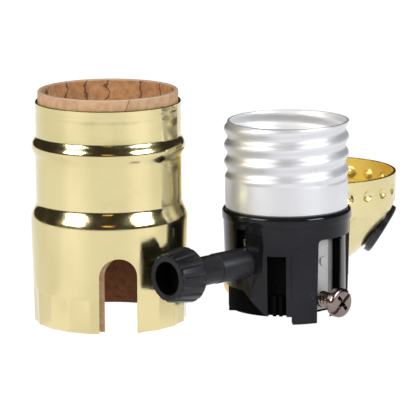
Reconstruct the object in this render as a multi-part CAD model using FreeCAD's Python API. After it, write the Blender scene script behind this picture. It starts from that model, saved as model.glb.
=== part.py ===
"""Turn-knob lamp holder, standing taken apart: shell with its liner, switch interior, and cap.

Millimetres, +Z up. The shell, the interior and the cap each stand on the floor on their own
axis. The origin is the middle of the floor under all three.
"""
import FreeCAD, Part
import math
import os
from FreeCAD import Vector

# ---- Places of the three groups, measured from the axis of the interior ----
KNOB_TURNED = -136.2   # direction of the knob, degrees from +X
SHELL_BEHIND_FACE = 4.8   # the shell's axis, back from the knob's face
KNOB_TO_SHELL = 0.2
CAP_X, CAP_Y = 8.0, 37.4

# ---- Outer shell: drawn sheet with a bead, a shoulder and a crimped band ----
SHEET = 0.40
SHELL_TALL = 47.6
NECK_R = 15.55
RIM_R = 15.68
RIM_TALL = 0.9
RIM_GROOVE = 0.09
BEAD_R = 16.47
BEAD_UP = 38.0
BEAD_HALF = 2.5
WAIST_R = 15.62
SHOULDER_TOP, SHOULDER_LOW = 26.2, 22.0
SKIRT_R = 16.83
SKIRT_LOW_R = 16.45
CRIMP_TALL = 8.0
CRIMP_R = 16.28
CRIMP_FLUTES = 20
CRIMP_FADE = 1.1
CRIMP_TURNED = -103.4

# ---- Slot for the knob's stem, through the shell and its liner ----
SLOT_WIDE = 8.1
SLOT_TALL = 16.3
SLOT_TURNED = -82.3

# ---- Insulating liner: rolled card tube ----
LINER_FIT = 0.04
LINER_WALL = 1.0
LINER_LOW = 0.3
LINER_SLOT_ON = 5
LINER_PROUD = 2.3

# ---- Cap: drawn sheet with a dimpled band, a domed flank and a threaded hub ----
CAP_SHEET = 0.50
CAP_RIM_R = 17.66
CAP_TALL = 24.35
CAP_BAND_R = 17.46
CAP_BAND_LOW = 16.3
CAP_STEP = 0.22
FLANK_BULGE = 0.75
DIMPLES = 22
DIMPLE_R = 0.95
DIMPLE_DEEP = 0.55
DIMPLE_DOWN = 3.4
DIMPLE_TURNED = -52.5
DIMPLE_SIDES = 6
HUB_R = 7.0
HUB_TALL = 7.4
HUB_UNDER_CAP = 4.6
HUB_LIP = 1.0
HUB_BORE_R = 4.80
SET_SCREW_R = 2.0
SET_SCREW_SHY = 0.3
SET_SCREW_PROUD = 0.3
SET_SCREW_UP = 2.5
SET_SCREW_TURNED = 115.0

# ---- Side outlet bushing, snapped into the flank of the cap ----
OUTLET_TURNED = -7.0
OUTLET_DROOP = 32.0
OUTLET_OUT = 14.75
OUTLET_UP = 10.75
OUTLET_FLANGE_R = 6.0
OUTLET_FLANGE = 1.4
OUTLET_SEAT_R = 6.6
OUTLET_NECK_R = 5.15
OUTLET_NECK = 4.6
OUTLET_SNAP = 0.45
OUTLET_BORE_R = 3.9
OUTLET_FIT = 0.05

# ---- Switch body and its cover ----
BODY_FOOT_R = 13.15
BODY_TOP_R = 13.70
BODY_LOW = 1.6
BODY_TALL = 21.0
BODY_EDGE = 0.3
BODY_COLLAR = 1.0
COVER_R = 14.0
COVER_EDGE = 0.35
COVER_THICK = 2.3
COVER_HOLE_R = 2.6
FEET_SPREAD = 24.0
FOOT_PROUD = 1.0
CHAMBER_BACK, CHAMBER_FRONT = -7.0, 5.0
CHAMBER_HALF = 5.2
CHAMBER_FLOOR = 4.5
STEM_GROOVE_TURNED = -1.0
STEM_GROOVE_HALF = 1.35
STEM_GROOVE_TOP = 20.0
STEM_GROOVE_DEEP = 1.6
PANEL_TURNED = 13.5
PANEL_HALF = 1.9
PANEL_TOP = 19.3
PANEL_DEEP = 0.45
PAD_LOW = 6.8
PAD_DEEP = 0.5
PAD_SLOPE_RUN = 5.6
CHEEK_SPREAD = 34.0
CHEEK_DEEP = 0.35
WINDOW_TURNED = 35.4
WINDOW_HALF = 2.05
WINDOW_TOP = 14.9
WINDOW_DEEP = 2.05
WINDOW_RIB = 0.7
WINDOW_RIB_SHY = 0.9
WINDOW_RIB_ROOT = 0.3
WINDOW_RIB_TOP = 6.0

# ---- Terminals: one each side, square to the knob ----
RECESS_HALF = 3.55
RECESS_FLOOR = 10.1
RECESS_TOP = 18.1
PLATE_THICK = 0.8
PLATE_GAP = 0.05
PLATE_LOW = 2.3
PLATE_FOLD = 1.6
PLATE_WING_IN = 0.55
TAB_HALF = 2.4
TAB_IN = 7.2
PLATE_RIVET_UP = 12.8
PLATE_RIVET_R = 0.55
PLATE_RIVET_HEAD_R = 0.95
PLATE_RIVET_HEAD = 0.35
SCREW_UP = 4.45
SCREW_R = 1.75
SCREW_FIT = 0.05
SCREW_LONG = 5.0
SCREW_POINT = 0.5
SCREW_ROOM = 0.45
SCREW_TRAVEL = 3.5
HEAD_R = 3.2
HEAD_THICK = 2.0
HEAD_OUT = 16.8
HEAD_SLOT = 0.85
HEAD_SLOT_DEEP = 1.0
HEAD_CROSS = 2.0
HEAD_CROSS_DEEP = 1.3
HEAD_EDGE = 0.5
HEAD_TURNED = 38.0

# ---- Knob and stem, one moulding ----
STEM_UP = 12.8
STEM_R = 3.25
STEM_FIT = 0.08
STEM_IN = 12.4
JOURNAL_R = 2.5
JOURNAL_FIT = 0.05
KNOB_FACE = 35.7
KNOB_DRUM = 6.0
KNOB_FRONT_R = 5.15
KNOB_REAR_R = 5.95
KNOB_CHAMFER = 1.2
KNOB_EDGE = 0.35
KNOB_RECESS_R = 3.55
KNOB_RECESS_DEEP = 4.6
KNOB_SCALLOPS = 16
KNOB_SCALLOP_R = 0.62
KNOB_SCALLOP_DEEP = 0.3

# ---- Switch: rotor on the stem's inner end, contacts and detent ----
DRIVE_R = 1.7
DRIVE_FLAT = 1.2
DRIVE_FIT = 0.02
CLIP_THICK = 0.6
CLIP_R = 3.6
CLIP_GAP = 0.1
CLIP_GROOVE_R = 1.9
ROTOR_R = 3.3
ROTOR_FRONT, ROTOR_BACK = 3.9, -5.2
CAM_CORNER_R = 3.9
CAM_FLAT = 3.2
CAM_LONG = 3.4
BRASS = 0.4
ROTOR_PLATE_R = 3.0
FINGER_HALF = 1.1
FINGER_LONG = 4.2
CONTACT_GAP = 0.35
SPRING_THICK = 0.3
SPRING_HALF = 4.7
SPRING_WIDE = 2.8
BLADE_ABOVE, BLADE_BELOW = 3.0, 1.5
BLADE_BEND, BLADE_PAD = 1.0, 4.0
BLADE_SHY, BLADE_SHORT = 0.3, 1.5

# ---- Screw shell: thin rolled lamp thread ----
TIN = 0.35
THREAD_PITCH = 3.629
THREAD_CREST_R = 13.47
THREAD_ROOT_R = 12.72
THREAD_CREST_UP = 40.56
THREAD_LOW, THREAD_TOP = 29.3, 41.2
THREAD_FADE = 1.5
SCREW_SHELL_TOP = 42.3
SCREW_SHELL_R = 13.25
THREAD_COLUMNS = 24
THREAD_ROWS = 6
LIP_R = 7.6
LIP_RIVET_AT = 9.55
LIP_RIVET_R = 0.9
LIP_RIVET_HEAD_R = 1.6
LIP_RIVET_HEAD = 0.6
LIP_RIVET_DEEP = 4.0
LIP_RIVET_TURNS = (90.0, 225.0)
RIVET_FIT = 0.02

# ---- Centre contact: folded brass strip ----
STRIP = 0.5
STRIP_HALF = 2.2
LEG_BACK = -6.9
LEG_LOW = 9.4
FOOT_END = -3.2
TONGUE_RISE = 3.4
TONGUE_END = 2.8
CENTRE_RIVET_R = 0.7
CENTRE_RIVET_HEAD_R = 1.2
CENTRE_RIVET_HEAD = 0.5
CENTRE_RIVET_LONG = 2.2

UP = Vector(0, 0, 1)
COVER_TOP = BODY_TALL + COVER_THICK
BIG = 60.0


# ---- Shared shapes ----
def outline(start, *steps):
    """Closed wire in the XZ plane. A step is an end point, or (via, end) for an arc."""
    here, edges = start, []
    for step in steps + (start,):
        arc = isinstance(step[0], tuple)
        end = step[1] if arc else step
        a, b = (Vector(p[0], 0, p[1]) for p in (here, end))
        if arc:
            via = Vector(step[0][0], 0, step[0][1])
            edges.append(Part.Arc(a, via, b).toShape())
        elif a.distanceToPoint(b) > 1e-6:
            edges.append(Part.makeLine(a, b))
        here = end
    return Part.Wire(edges)


def turned(start, *steps):
    """Solid of revolution about Z from an outline of (radius, height) points."""
    return Part.Face(outline(start, *steps)).revolve(Vector(), UP, 360)


def s_curve(low, high):
    """Two tangent arcs between two points that both run straight up, as outline steps."""
    middle = ((low[0] + high[0]) / 2, (low[1] + high[1]) / 2)
    lean = low[0] - high[0]
    radius = (lean ** 2 + (high[1] - low[1]) ** 2) / (4 * abs(lean))
    side = math.copysign(1, lean)
    steps = []
    for end, other, way in ((low, middle, side), (high, middle, -side)):
        centre = (end[0] - way * radius, end[1])
        angle = math.atan2(other[1] - centre[1], (other[0] - centre[0]) * way) / 2
        via = (centre[0] + way * radius * math.cos(angle), centre[1] + radius * math.sin(angle))
        steps.append(via)
    return (steps[0], middle), (steps[1], high)


def pan_head(radius, low, rise):
    """Outline steps of a low rivet head that slopes to a flat top, ending on the axis."""
    return (radius, low), (radius * 0.65, low + rise), (0, low + rise)


def tube(outer, inner, low, high):
    return Part.makeCylinder(outer, high - low, Vector(0, 0, low)).cut(
        Part.makeCylinder(inner, high - low, Vector(0, 0, low)))


def block(x, y, z):
    """Box from three (low, high) pairs."""
    return Part.makeBox(x[1] - x[0], y[1] - y[0], z[1] - z[0], Vector(x[0], y[0], z[0]))


def rod(radius, start, end, way=Vector(1, 0, 0), centre=Vector()):
    """Cylinder along a direction, between two distances from a centre."""
    return Part.makeCylinder(radius, end - start, centre + way * start, way)


def spun(shape, degrees):
    copy = shape.copy()
    copy.rotate(Vector(), UP, degrees)
    return copy


def ring_of(shape, count, first=0.0):
    return [spun(shape, first + index * 360.0 / count) for index in range(count)]


def strip(points, thickness, half_width):
    """Folded strip: a path in the XZ plane, thickened to its left, extruded across Y."""
    runs = list(zip(points, points[1:]))
    sides = []
    for index in range(len(points)):
        normals = []
        for a, b in runs[max(index - 1, 0):index + 1]:
            long = math.hypot(b[0] - a[0], b[1] - a[1])
            normals.append(((a[1] - b[1]) / long, (b[0] - a[0]) / long))
        mean = [sum(n[axis] for n in normals) / len(normals) for axis in (0, 1)]
        mitre = thickness / (mean[0] ** 2 + mean[1] ** 2)
        x, z = points[index]
        sides.append((x + mean[0] * mitre, z + mean[1] * mitre))
    face = Part.Face(outline(points[0], *points[1:], *reversed(sides)))
    face.translate(Vector(0, -half_width, 0))
    return face.extrude(Vector(0, 2 * half_width, 0))


# ---- Shell and liner ----
def crimp_wire(radius, height, flat):
    """One turn of the crimped band, from ridge to ridge: flat where crimped, round above it."""
    step = 2 * math.pi / CRIMP_FLUTES
    edges = []
    for index in range(CRIMP_FLUTES):
        start = math.radians(CRIMP_TURNED) + index * step
        points = [Vector(radius * math.cos(turn), radius * math.sin(turn), height)
                  for turn in (start, start + step / 2, start + step)]
        if flat:
            edges.append(Part.makeLine(points[0], points[2]))
        else:
            edges.append(Part.Arc(*points).toShape())
    return Part.Wire(edges)


def crimped_band(inset):
    """Solid plug inside the crimped band, its flutes fading into the round skirt."""
    wires = [
        crimp_wire(CRIMP_R - inset, 0, True),
        crimp_wire(SKIRT_LOW_R - inset, CRIMP_TALL - CRIMP_FADE, True),
        crimp_wire(SKIRT_LOW_R - inset, CRIMP_TALL, False)]
    return Part.makeLoft(wires, True, True)


def shell_plug(inset):
    """The shell above the crimped band as a solid plug, inset by the sheet for its inside."""
    def at(radius, height):
        return (radius - inset, height)
    rim_low = SHELL_TALL - RIM_TALL
    return turned(
        (0, CRIMP_TALL), at(SKIRT_LOW_R, CRIMP_TALL), at(SKIRT_R, SHOULDER_LOW),
        *s_curve(at(SKIRT_R, SHOULDER_LOW), at(WAIST_R, SHOULDER_TOP)),
        at(WAIST_R, BEAD_UP - BEAD_HALF),
        at((WAIST_R + BEAD_R) / 2, BEAD_UP - BEAD_HALF / 2),
        (at(BEAD_R, BEAD_UP), at((NECK_R + BEAD_R) / 2, BEAD_UP + BEAD_HALF / 2)),
        at(NECK_R, BEAD_UP + BEAD_HALF), at(NECK_R, rim_low - RIM_TALL),
        at(NECK_R - RIM_GROOVE, rim_low - RIM_TALL / 2), at(NECK_R, rim_low),
        at(RIM_R, rim_low), at(RIM_R, SHELL_TALL), (0, SHELL_TALL))


def stem_slot(further=0):
    """Arched slot, open at the foot, through one side of the shell or its liner."""
    half = SLOT_WIDE / 2
    arch = SLOT_TALL - half
    face = Part.Face(outline(
        (-half, -1), (half, -1), (half, arch), ((0, SLOT_TALL), (-half, arch))))
    slot = face.extrude(Vector(0, -BIG, 0))
    return spun(slot, SLOT_TURNED + further + 90)


def outer_shell():
    outside = shell_plug(0).fuse(crimped_band(0))
    inside = shell_plug(SHEET).fuse(crimped_band(SHEET))
    return outside.cut(inside).cut(stem_slot()).removeSplitter()


def shell_liner():
    outer = NECK_R - RIM_GROOVE - SHEET - LINER_FIT
    liner = tube(outer, outer - LINER_WALL, LINER_LOW, SHELL_TALL + LINER_PROUD)
    return liner.cut(stem_slot(LINER_SLOT_ON))


# ---- Cap ----
def cap_plug(inset):
    """The cap as a solid plug, inset by the sheet for its inside, with the outlet's flat seat."""
    low = CAP_BAND_LOW + inset * 0.4
    hub = (HUB_R - HUB_LIP, HUB_UNDER_CAP + inset)
    foot = (HUB_R + 0.3, HUB_UNDER_CAP + inset)
    top = (CAP_BAND_R - CAP_STEP - inset, low - CAP_STEP)
    long = math.hypot(top[0] - foot[0], top[1] - foot[1])
    out = ((top[1] - foot[1]) / long * FLANK_BULGE, (foot[0] - top[0]) / long * FLANK_BULGE)
    via = ((foot[0] + top[0]) / 2 + out[0], (foot[1] + top[1]) / 2 + out[1])
    plug = turned(
        (0, hub[1]), hub, foot, (via, top), (CAP_BAND_R - inset, low),
        (CAP_RIM_R - inset, CAP_TALL), (0, CAP_TALL))
    seat = rod(OUTLET_SEAT_R + inset, -OUTLET_FLANGE - inset, OUTLET_SEAT_R, UP)
    return plug.cut(placed(seat, outlet_frame()))


def dimple(inset):
    """Faceted punch of one dimple, pointing inward through the band."""
    height = CAP_TALL - DIMPLE_DOWN
    rim = (CAP_RIM_R + CAP_BAND_R) / 2
    wires = []
    for out, radius in ((-DIMPLE_DEEP, DIMPLE_R * 0.6), (DIMPLE_DEEP, DIMPLE_R * 1.4)):
        corners = [Vector(rim + out - inset, (radius + inset) * math.cos(turn),
                          height + (radius + inset) * math.sin(turn))
                   for turn in (math.pi * (2 * index + 1) / DIMPLE_SIDES for index in range(DIMPLE_SIDES))]
        wires.append(Part.makePolygon(corners + corners[:1]))
    return Part.makeLoft(wires, True, True)


def outlet_frame():
    """Placement of the side outlet: local +Z points out along the bushing."""
    turn = FreeCAD.Rotation(UP, OUTLET_TURNED)
    tip = FreeCAD.Rotation(Vector(0, 1, 0), 90 + OUTLET_DROOP)
    base = turn.multVec(Vector(OUTLET_OUT, 0, OUTLET_UP))
    return FreeCAD.Placement(base, turn.multiply(tip))


def placed(shape, placement):
    copy = shape.copy()
    copy.transformShape(placement.toMatrix())
    return copy


def cap_shell():
    pockets = Part.makeCompound(ring_of(dimple(0), DIMPLES, DIMPLE_TURNED))
    bumps = Part.makeCompound(ring_of(dimple(CAP_SHEET * 0.6), DIMPLES, DIMPLE_TURNED))
    cap = cap_plug(0).cut(cap_plug(CAP_SHEET).cut(bumps)).cut(pockets)
    hole = rod(OUTLET_NECK_R + OUTLET_FIT, -OUTLET_NECK * 2, OUTLET_FLANGE, UP)
    cap = cap.cut(placed(hole, outlet_frame()))
    return cap.cut(rod(HUB_R - HUB_LIP, 0, CAP_TALL, UP))


def cap_hub():
    """Turned ferrule staked through the bottom of the cap, with its pipe bore."""
    staked = HUB_R - HUB_LIP - RIVET_FIT
    shoulder = HUB_UNDER_CAP
    hub = turned(
        (HUB_BORE_R, 0), (HUB_R - 0.4, 0), (HUB_R, 0.4), (HUB_R, shoulder), (staked, shoulder),
        (staked, shoulder + CAP_SHEET), (HUB_R, shoulder + CAP_SHEET),
        (HUB_R - 0.4, HUB_TALL), (HUB_BORE_R, HUB_TALL))
    return hub.cut(set_screw(RIVET_FIT))


def set_screw(fit=0.0):
    """Grub screw across the hub wall, short of the bore; with a fit, the hole for it."""
    short = 0 if fit else SET_SCREW_SHY
    body = rod(SET_SCREW_R + fit, HUB_BORE_R + short, HUB_R + SET_SCREW_PROUD)
    body.translate(Vector(0, 0, SET_SCREW_UP))
    return spun(body, SET_SCREW_TURNED)


def side_outlet_bushing():
    """Snap-in bushing: flange outside, grooved neck through the flank, snap rim inside."""
    seat = -OUTLET_FLANGE
    end = seat - OUTLET_NECK
    edge = 0.3
    body = turned(
        (OUTLET_BORE_R, end), (OUTLET_NECK_R, end),
        (OUTLET_NECK_R + OUTLET_SNAP, end + OUTLET_SNAP),
        (OUTLET_NECK_R, end + 3 * OUTLET_SNAP), (OUTLET_NECK_R, seat),
        (OUTLET_FLANGE_R, seat), (OUTLET_FLANGE_R, -edge),
        (OUTLET_FLANGE_R - edge, 0), (OUTLET_BORE_R + edge, 0), (OUTLET_BORE_R, -edge))
    return placed(body, outlet_frame())


# ---- Switch body, in the interior's own frame: knob along +X, terminals along +Y and -Y ----
def recess_cut(side):
    """Terminal recess: open outward and downward, closed at the top by the collar."""
    cut = block((-RECESS_HALF, RECESS_HALF), (RECESS_FLOOR, BIG), (-1, RECESS_TOP))
    tab = block((-TAB_HALF - PLATE_GAP, TAB_HALF + PLATE_GAP),
                (TAB_IN - PLATE_GAP, RECESS_FLOOR + PLATE_THICK + 2 * PLATE_GAP),
                (BODY_TALL - PLATE_THICK - PLATE_GAP, BODY_TALL))
    rise = block((-TAB_HALF - PLATE_GAP, TAB_HALF + PLATE_GAP),
                 (RECESS_FLOOR, RECESS_FLOOR + PLATE_THICK + 2 * PLATE_GAP),
                 (RECESS_TOP - 1, BODY_TALL))
    reach = HEAD_OUT - HEAD_THICK - SCREW_LONG - SCREW_TRAVEL - SCREW_ROOM
    hole = rod(SCREW_R + SCREW_ROOM, reach, RECESS_FLOOR + 1, Vector(0, 1, 0),
               Vector(0, 0, SCREW_UP))
    rivet = rod(PLATE_RIVET_R + RIVET_FIT, 0, RECESS_FLOOR + 1, Vector(0, 1, 0),
                Vector(0, 0, PLATE_RIVET_UP))
    both = cut.fuse([rise, hole, rivet] + ([tab] if side > 0 else []))
    return both if side > 0 else spun(both, 180)


def stem_bore():
    way, centre = Vector(1, 0, 0), Vector(0, 0, STEM_UP)
    journal = rod(JOURNAL_R + JOURNAL_FIT, CHAMBER_FRONT - 1, BODY_TOP_R, way, centre)
    mouth = rod(STEM_R + STEM_FIT, STEM_IN, BIG, way, centre)
    return journal.fuse(mouth)


def wall_cut(turn, half_wide, low, high, floor):
    """Upright pocket in the outside of the body: its width, two heights and its floor's radius."""
    cut = block((floor, BIG), (-half_wide, half_wide), (low, high))
    return spun(cut, turn)


def under_pad():
    """Cut under the pad that backs the stem: level, then sloping down beyond the stem."""
    line = Part.makePolygon([
        Vector(0, -BODY_TOP_R, -1), Vector(0, PAD_SLOPE_RUN, -1), Vector(0, PAD_SLOPE_RUN, BODY_LOW),
        Vector(0, 0, PAD_LOW), Vector(0, -BODY_TOP_R, PAD_LOW), Vector(0, -BODY_TOP_R, -1)])
    slab = Part.Face(line).extrude(Vector(BIG, 0, 0))
    return slab.common(tube(BODY_TOP_R + 1, BODY_FOOT_R - PAD_DEEP, -1, PAD_LOW + 1))


def cheek_cut():
    """Sets back the wall beside a terminal recess, up to the collar, on the recess's far side."""
    ring = tube(BODY_TOP_R + 1, BODY_FOOT_R - CHEEK_DEEP, -1, RECESS_TOP)
    return ring.common(wedge(90 + wall_angle(), CHEEK_SPREAD, BIG))


def wall_angle():
    """Angle between the middle of a terminal recess and its wall, at the body's outside."""
    return math.degrees(math.asin(RECESS_HALF / BODY_FOOT_R))


def wedge(start, spread, tall):
    """Sector from the axis outward, between two angles, standing on the floor and below it."""
    far = 2 * BIG
    corners = [Vector(0, 0, -BIG)] + [
        Vector(far * math.cos(math.radians(turn)), far * math.sin(math.radians(turn)), -BIG)
        for turn in (start, start + spread)]
    return Part.Face(Part.makePolygon(corners + corners[:1])).extrude(Vector(0, 0, BIG + tall))


def feet():
    """Four short feet, one beside each side of each terminal recess."""
    ring = tube(BODY_FOOT_R, RECESS_FLOOR + PLATE_THICK / 2, 0, BODY_LOW + FOOT_PROUD)
    near = wall_angle()
    return [ring.common(wedge(side + way, FEET_SPREAD, BIG))
            for side in (90, 270) for way in (near, -near - FEET_SPREAD)]


def switch_body():
    body = turned((0, BODY_LOW), (BODY_FOOT_R - BODY_EDGE, BODY_LOW),
                  (BODY_FOOT_R, BODY_LOW + BODY_EDGE), (BODY_TOP_R, BODY_TALL - BODY_COLLAR),
                  (BODY_TOP_R, BODY_TALL), (0, BODY_TALL))
    body = body.fuse(feet())
    chamber = block((CHAMBER_BACK, CHAMBER_FRONT), (-CHAMBER_HALF, CHAMBER_HALF),
                    (CHAMBER_FLOOR, BODY_TALL))
    cuts = [chamber, stem_bore(), recess_cut(1), recess_cut(-1)]
    cuts.append(wall_cut(STEM_GROOVE_TURNED, STEM_GROOVE_HALF, STEM_UP, STEM_GROOVE_TOP,
                         BODY_TOP_R - STEM_GROOVE_DEEP))
    cuts.append(wall_cut(PANEL_TURNED, PANEL_HALF, PAD_LOW, PANEL_TOP, BODY_TOP_R - PANEL_DEEP))
    cuts.append(wall_cut(WINDOW_TURNED, WINDOW_HALF, 0, WINDOW_TOP, BODY_FOOT_R - WINDOW_DEEP))
    cuts += [under_pad(), cheek_cut(), spun(cheek_cut(), 180)]
    for turn in LIP_RIVET_TURNS:
        cuts.append(spun(rod(LIP_RIVET_R + RIVET_FIT, BODY_TALL - LIP_RIVET_DEEP, BIG, UP,
                             Vector(LIP_RIVET_AT, 0, 0)), turn))
    body = body.cut(Part.makeCompound(cuts))
    for offset in (-WINDOW_HALF / 3, WINDOW_HALF / 3):
        rib = block((BODY_FOOT_R - WINDOW_DEEP - WINDOW_RIB_ROOT, BODY_FOOT_R - WINDOW_RIB_SHY),
                    (offset - WINDOW_RIB / 2, offset + WINDOW_RIB / 2), (BODY_LOW, WINDOW_RIB_TOP))
        body = body.fuse(spun(rib, WINDOW_TURNED))
    return body.removeSplitter()


def body_cover():
    """Insulating disc over the chamber, under the screw shell."""
    cover = turned((0, BODY_TALL), (COVER_R, BODY_TALL), (COVER_R, COVER_TOP - COVER_EDGE),
                   (COVER_R - COVER_EDGE, COVER_TOP), (0, COVER_TOP))
    gap = PLATE_GAP
    leg = block((LEG_BACK - gap, LEG_BACK + STRIP + gap), (-STRIP_HALF - gap, STRIP_HALF + gap),
                (0, BIG))
    rivet = rod(CENTRE_RIVET_R + RIVET_FIT, 0, BIG, UP, Vector(centre_rivet_x(), 0, 0))
    cuts = [leg, rivet]
    for turn in LIP_RIVET_TURNS:
        cuts.append(spun(rod(LIP_RIVET_R + RIVET_FIT, 0, BIG, UP, Vector(LIP_RIVET_AT, 0, 0)), turn))
    return cover.cut(Part.makeCompound(cuts))


# ---- Terminals ----
def neutral_plate():
    """Folded plate: terminal face, a bent wing, and a tab riveted under the screw shell."""
    back = RECESS_FLOOR
    front = back + PLATE_THICK
    edge = RECESS_HALF - PLATE_GAP
    face = block((-edge, edge), (back, front), (PLATE_LOW, RECESS_TOP - PLATE_GAP))
    neck = block((-TAB_HALF, TAB_HALF), (back, front), (RECESS_TOP - 1, BODY_TALL))
    tab = block((-TAB_HALF, TAB_HALF), (TAB_IN, front), (BODY_TALL - PLATE_THICK, BODY_TALL))
    rivet = spun(rod(LIP_RIVET_R + RIVET_FIT, 0, BIG, UP, Vector(LIP_RIVET_AT, 0, 0)), 90)
    plate = face.fuse([neck, tab]).cut(rivet)
    return plate.cut(plate_holes()).cut(plate_wing()).removeSplitter()


def plate_wing():
    """Corner taken off the face of a plate beyond its fold, on its right-hand side."""
    front = RECESS_FLOOR + PLATE_THICK
    fold = PLATE_FOLD
    edge = RECESS_HALF
    corner = Part.makePolygon([
        Vector(-fold, front, 0), Vector(-edge, front - PLATE_WING_IN, 0), Vector(-edge, front + 1, 0),
        Vector(-fold, front + 1, 0), Vector(-fold, front, 0)])
    return Part.Face(corner).extrude(Vector(0, 0, RECESS_TOP - PLATE_GAP))


def plate_holes():
    way = Vector(0, 1, 0)
    return Part.makeCompound([
        rod(SCREW_R + SCREW_FIT, 0, BIG, way, Vector(0, 0, SCREW_UP)),
        rod(PLATE_RIVET_R + RIVET_FIT, 0, BIG, way, Vector(0, 0, PLATE_RIVET_UP))])


def switched_plate():
    """Plain terminal plate of the switched side, kept clear of the screw shell."""
    edge = RECESS_HALF - PLATE_GAP
    face = block((-edge, edge), (RECESS_FLOOR, RECESS_FLOOR + PLATE_THICK),
                 (PLATE_LOW, RECESS_TOP - PLATE_GAP))
    return spun(face.cut(plate_holes()).cut(plate_wing()), 180)


def plate_rivet(inner_end):
    """Rivet of a terminal plate, from its head to an end inside the body."""
    way, centre = Vector(0, 1, 0), Vector(0, 0, PLATE_RIVET_UP)
    front = RECESS_FLOOR + PLATE_THICK
    return rod(PLATE_RIVET_R, inner_end, front, way, centre).fuse(
        rod(PLATE_RIVET_HEAD_R, front, front + PLATE_RIVET_HEAD, way, centre))


def terminal_screw():
    """Binding screw with a slot and cross drive, backed out of its plate."""
    back = -HEAD_THICK
    point = back - SCREW_LONG
    screw = turned(
        (0, 0), (HEAD_R - HEAD_EDGE, 0), (HEAD_R, -HEAD_EDGE), (HEAD_R, back), (SCREW_R, back),
        (SCREW_R, point + SCREW_POINT), (SCREW_R - SCREW_POINT, point), (0, point))
    slot = block((-BIG, BIG), (-HEAD_SLOT / 2, HEAD_SLOT / 2), (-HEAD_SLOT_DEEP, 1))
    cross = block((-HEAD_SLOT / 2, HEAD_SLOT / 2), (-HEAD_CROSS, HEAD_CROSS),
                  (-HEAD_CROSS_DEEP, 1))
    screw = screw.cut(slot.fuse(cross))
    screw.rotate(Vector(), UP, HEAD_TURNED)
    screw.rotate(Vector(), Vector(1, 0, 0), -90)
    screw.translate(Vector(0, HEAD_OUT, SCREW_UP))
    return screw


# ---- Knob and switch ----
def along_stem(shape):
    """Turn a shape made about Z so that +Z runs out along the knob's axis."""
    copy = shape.copy()
    copy.rotate(Vector(), Vector(0, 1, 0), 90)
    copy.translate(Vector(0, 0, STEM_UP))
    return copy


def knob():
    front, rear = KNOB_FACE, KNOB_FACE - KNOB_DRUM
    edge = KNOB_EDGE
    end = ROTOR_BACK
    clip = CHAMBER_FRONT - CLIP_GAP
    body = turned(
        (0, end), (DRIVE_R, end), (DRIVE_R, ROTOR_FRONT), (JOURNAL_R, ROTOR_FRONT),
        (JOURNAL_R, clip - CLIP_THICK), (CLIP_GROOVE_R, clip - CLIP_THICK),
        (CLIP_GROOVE_R, clip), (JOURNAL_R, clip), (JOURNAL_R, STEM_IN + STEM_FIT),
        (STEM_R, STEM_IN + STEM_FIT), (STEM_R, rear - KNOB_CHAMFER), (KNOB_REAR_R, rear),
        (KNOB_FRONT_R, front - edge),
        (KNOB_FRONT_R - edge, front), (KNOB_RECESS_R, front), (KNOB_RECESS_R, front - KNOB_RECESS_DEEP),
        (0, front - KNOB_RECESS_DEEP))
    slope = math.degrees(math.atan2(KNOB_REAR_R - KNOB_FRONT_R, KNOB_DRUM))
    groove = Part.makeCylinder(KNOB_SCALLOP_R, 3 * KNOB_DRUM)
    groove.rotate(Vector(), Vector(0, 1, 0), -slope)
    mid = (KNOB_REAR_R + KNOB_FRONT_R) / 2
    reach = mid + KNOB_SCALLOP_R - KNOB_SCALLOP_DEEP
    groove.translate(Vector(
        reach + math.tan(math.radians(slope)) * 1.5 * KNOB_DRUM, 0, (front + rear) / 2 - 1.5 * KNOB_DRUM))
    body = body.cut(Part.makeCompound(ring_of(groove, KNOB_SCALLOPS)))
    flat = block((DRIVE_FLAT, DRIVE_R), (-DRIVE_R, DRIVE_R), (end, ROTOR_FRONT))
    return along_stem(body.cut(flat))


def stem_clip():
    """Open clip in the stem's groove, keeping the stem in its bore."""
    high = CHAMBER_FRONT - CLIP_GAP
    ring = tube(CLIP_R, CLIP_GROOVE_R, high - CLIP_THICK, high)
    mouth = block((0, BIG), (-CLIP_GROOVE_R * 0.7, CLIP_GROOVE_R * 0.7), (-BIG, BIG))
    return along_stem(ring.cut(mouth))


def drive_hole(low, high):
    hole = Part.makeCylinder(DRIVE_R + DRIVE_FIT, high - low, Vector(0, 0, low))
    flat = block((DRIVE_FLAT + DRIVE_FIT, BIG), (-BIG, BIG), (low, high))
    return hole.cut(flat)


def rotor():
    """Moulded rotor: a drum with a four-sided cam, keyed to the flat of the stem."""
    cam_low = ROTOR_FRONT - CAM_LONG
    drum = Part.makeCylinder(ROTOR_R, cam_low - ROTOR_BACK, Vector(0, 0, ROTOR_BACK))
    cam = Part.makeCylinder(CAM_CORNER_R, CAM_LONG, Vector(0, 0, cam_low)).common(
        block((-CAM_FLAT, CAM_FLAT), (-CAM_FLAT, CAM_FLAT), (cam_low, ROTOR_FRONT)))
    body = drum.fuse(cam).cut(drive_hole(ROTOR_BACK, ROTOR_FRONT))
    return along_stem(body.removeSplitter())


def rotor_contact():
    """Brass stamping on the rotor: an end plate with one finger folded along the drum."""
    low = ROTOR_BACK - BRASS
    plate = Part.makeCylinder(ROTOR_PLATE_R, BRASS, Vector(0, 0, low))
    finger = block((-FINGER_HALF, FINGER_HALF), (ROTOR_R, ROTOR_R + BRASS), (low, low + FINGER_LONG))
    bridge = block((-FINGER_HALF, FINGER_HALF), (0, ROTOR_R + BRASS), (low, ROTOR_BACK))
    both = plate.fuse([finger, bridge]).removeSplitter()
    both.rotate(Vector(), UP, 180)
    return along_stem(both)


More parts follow.
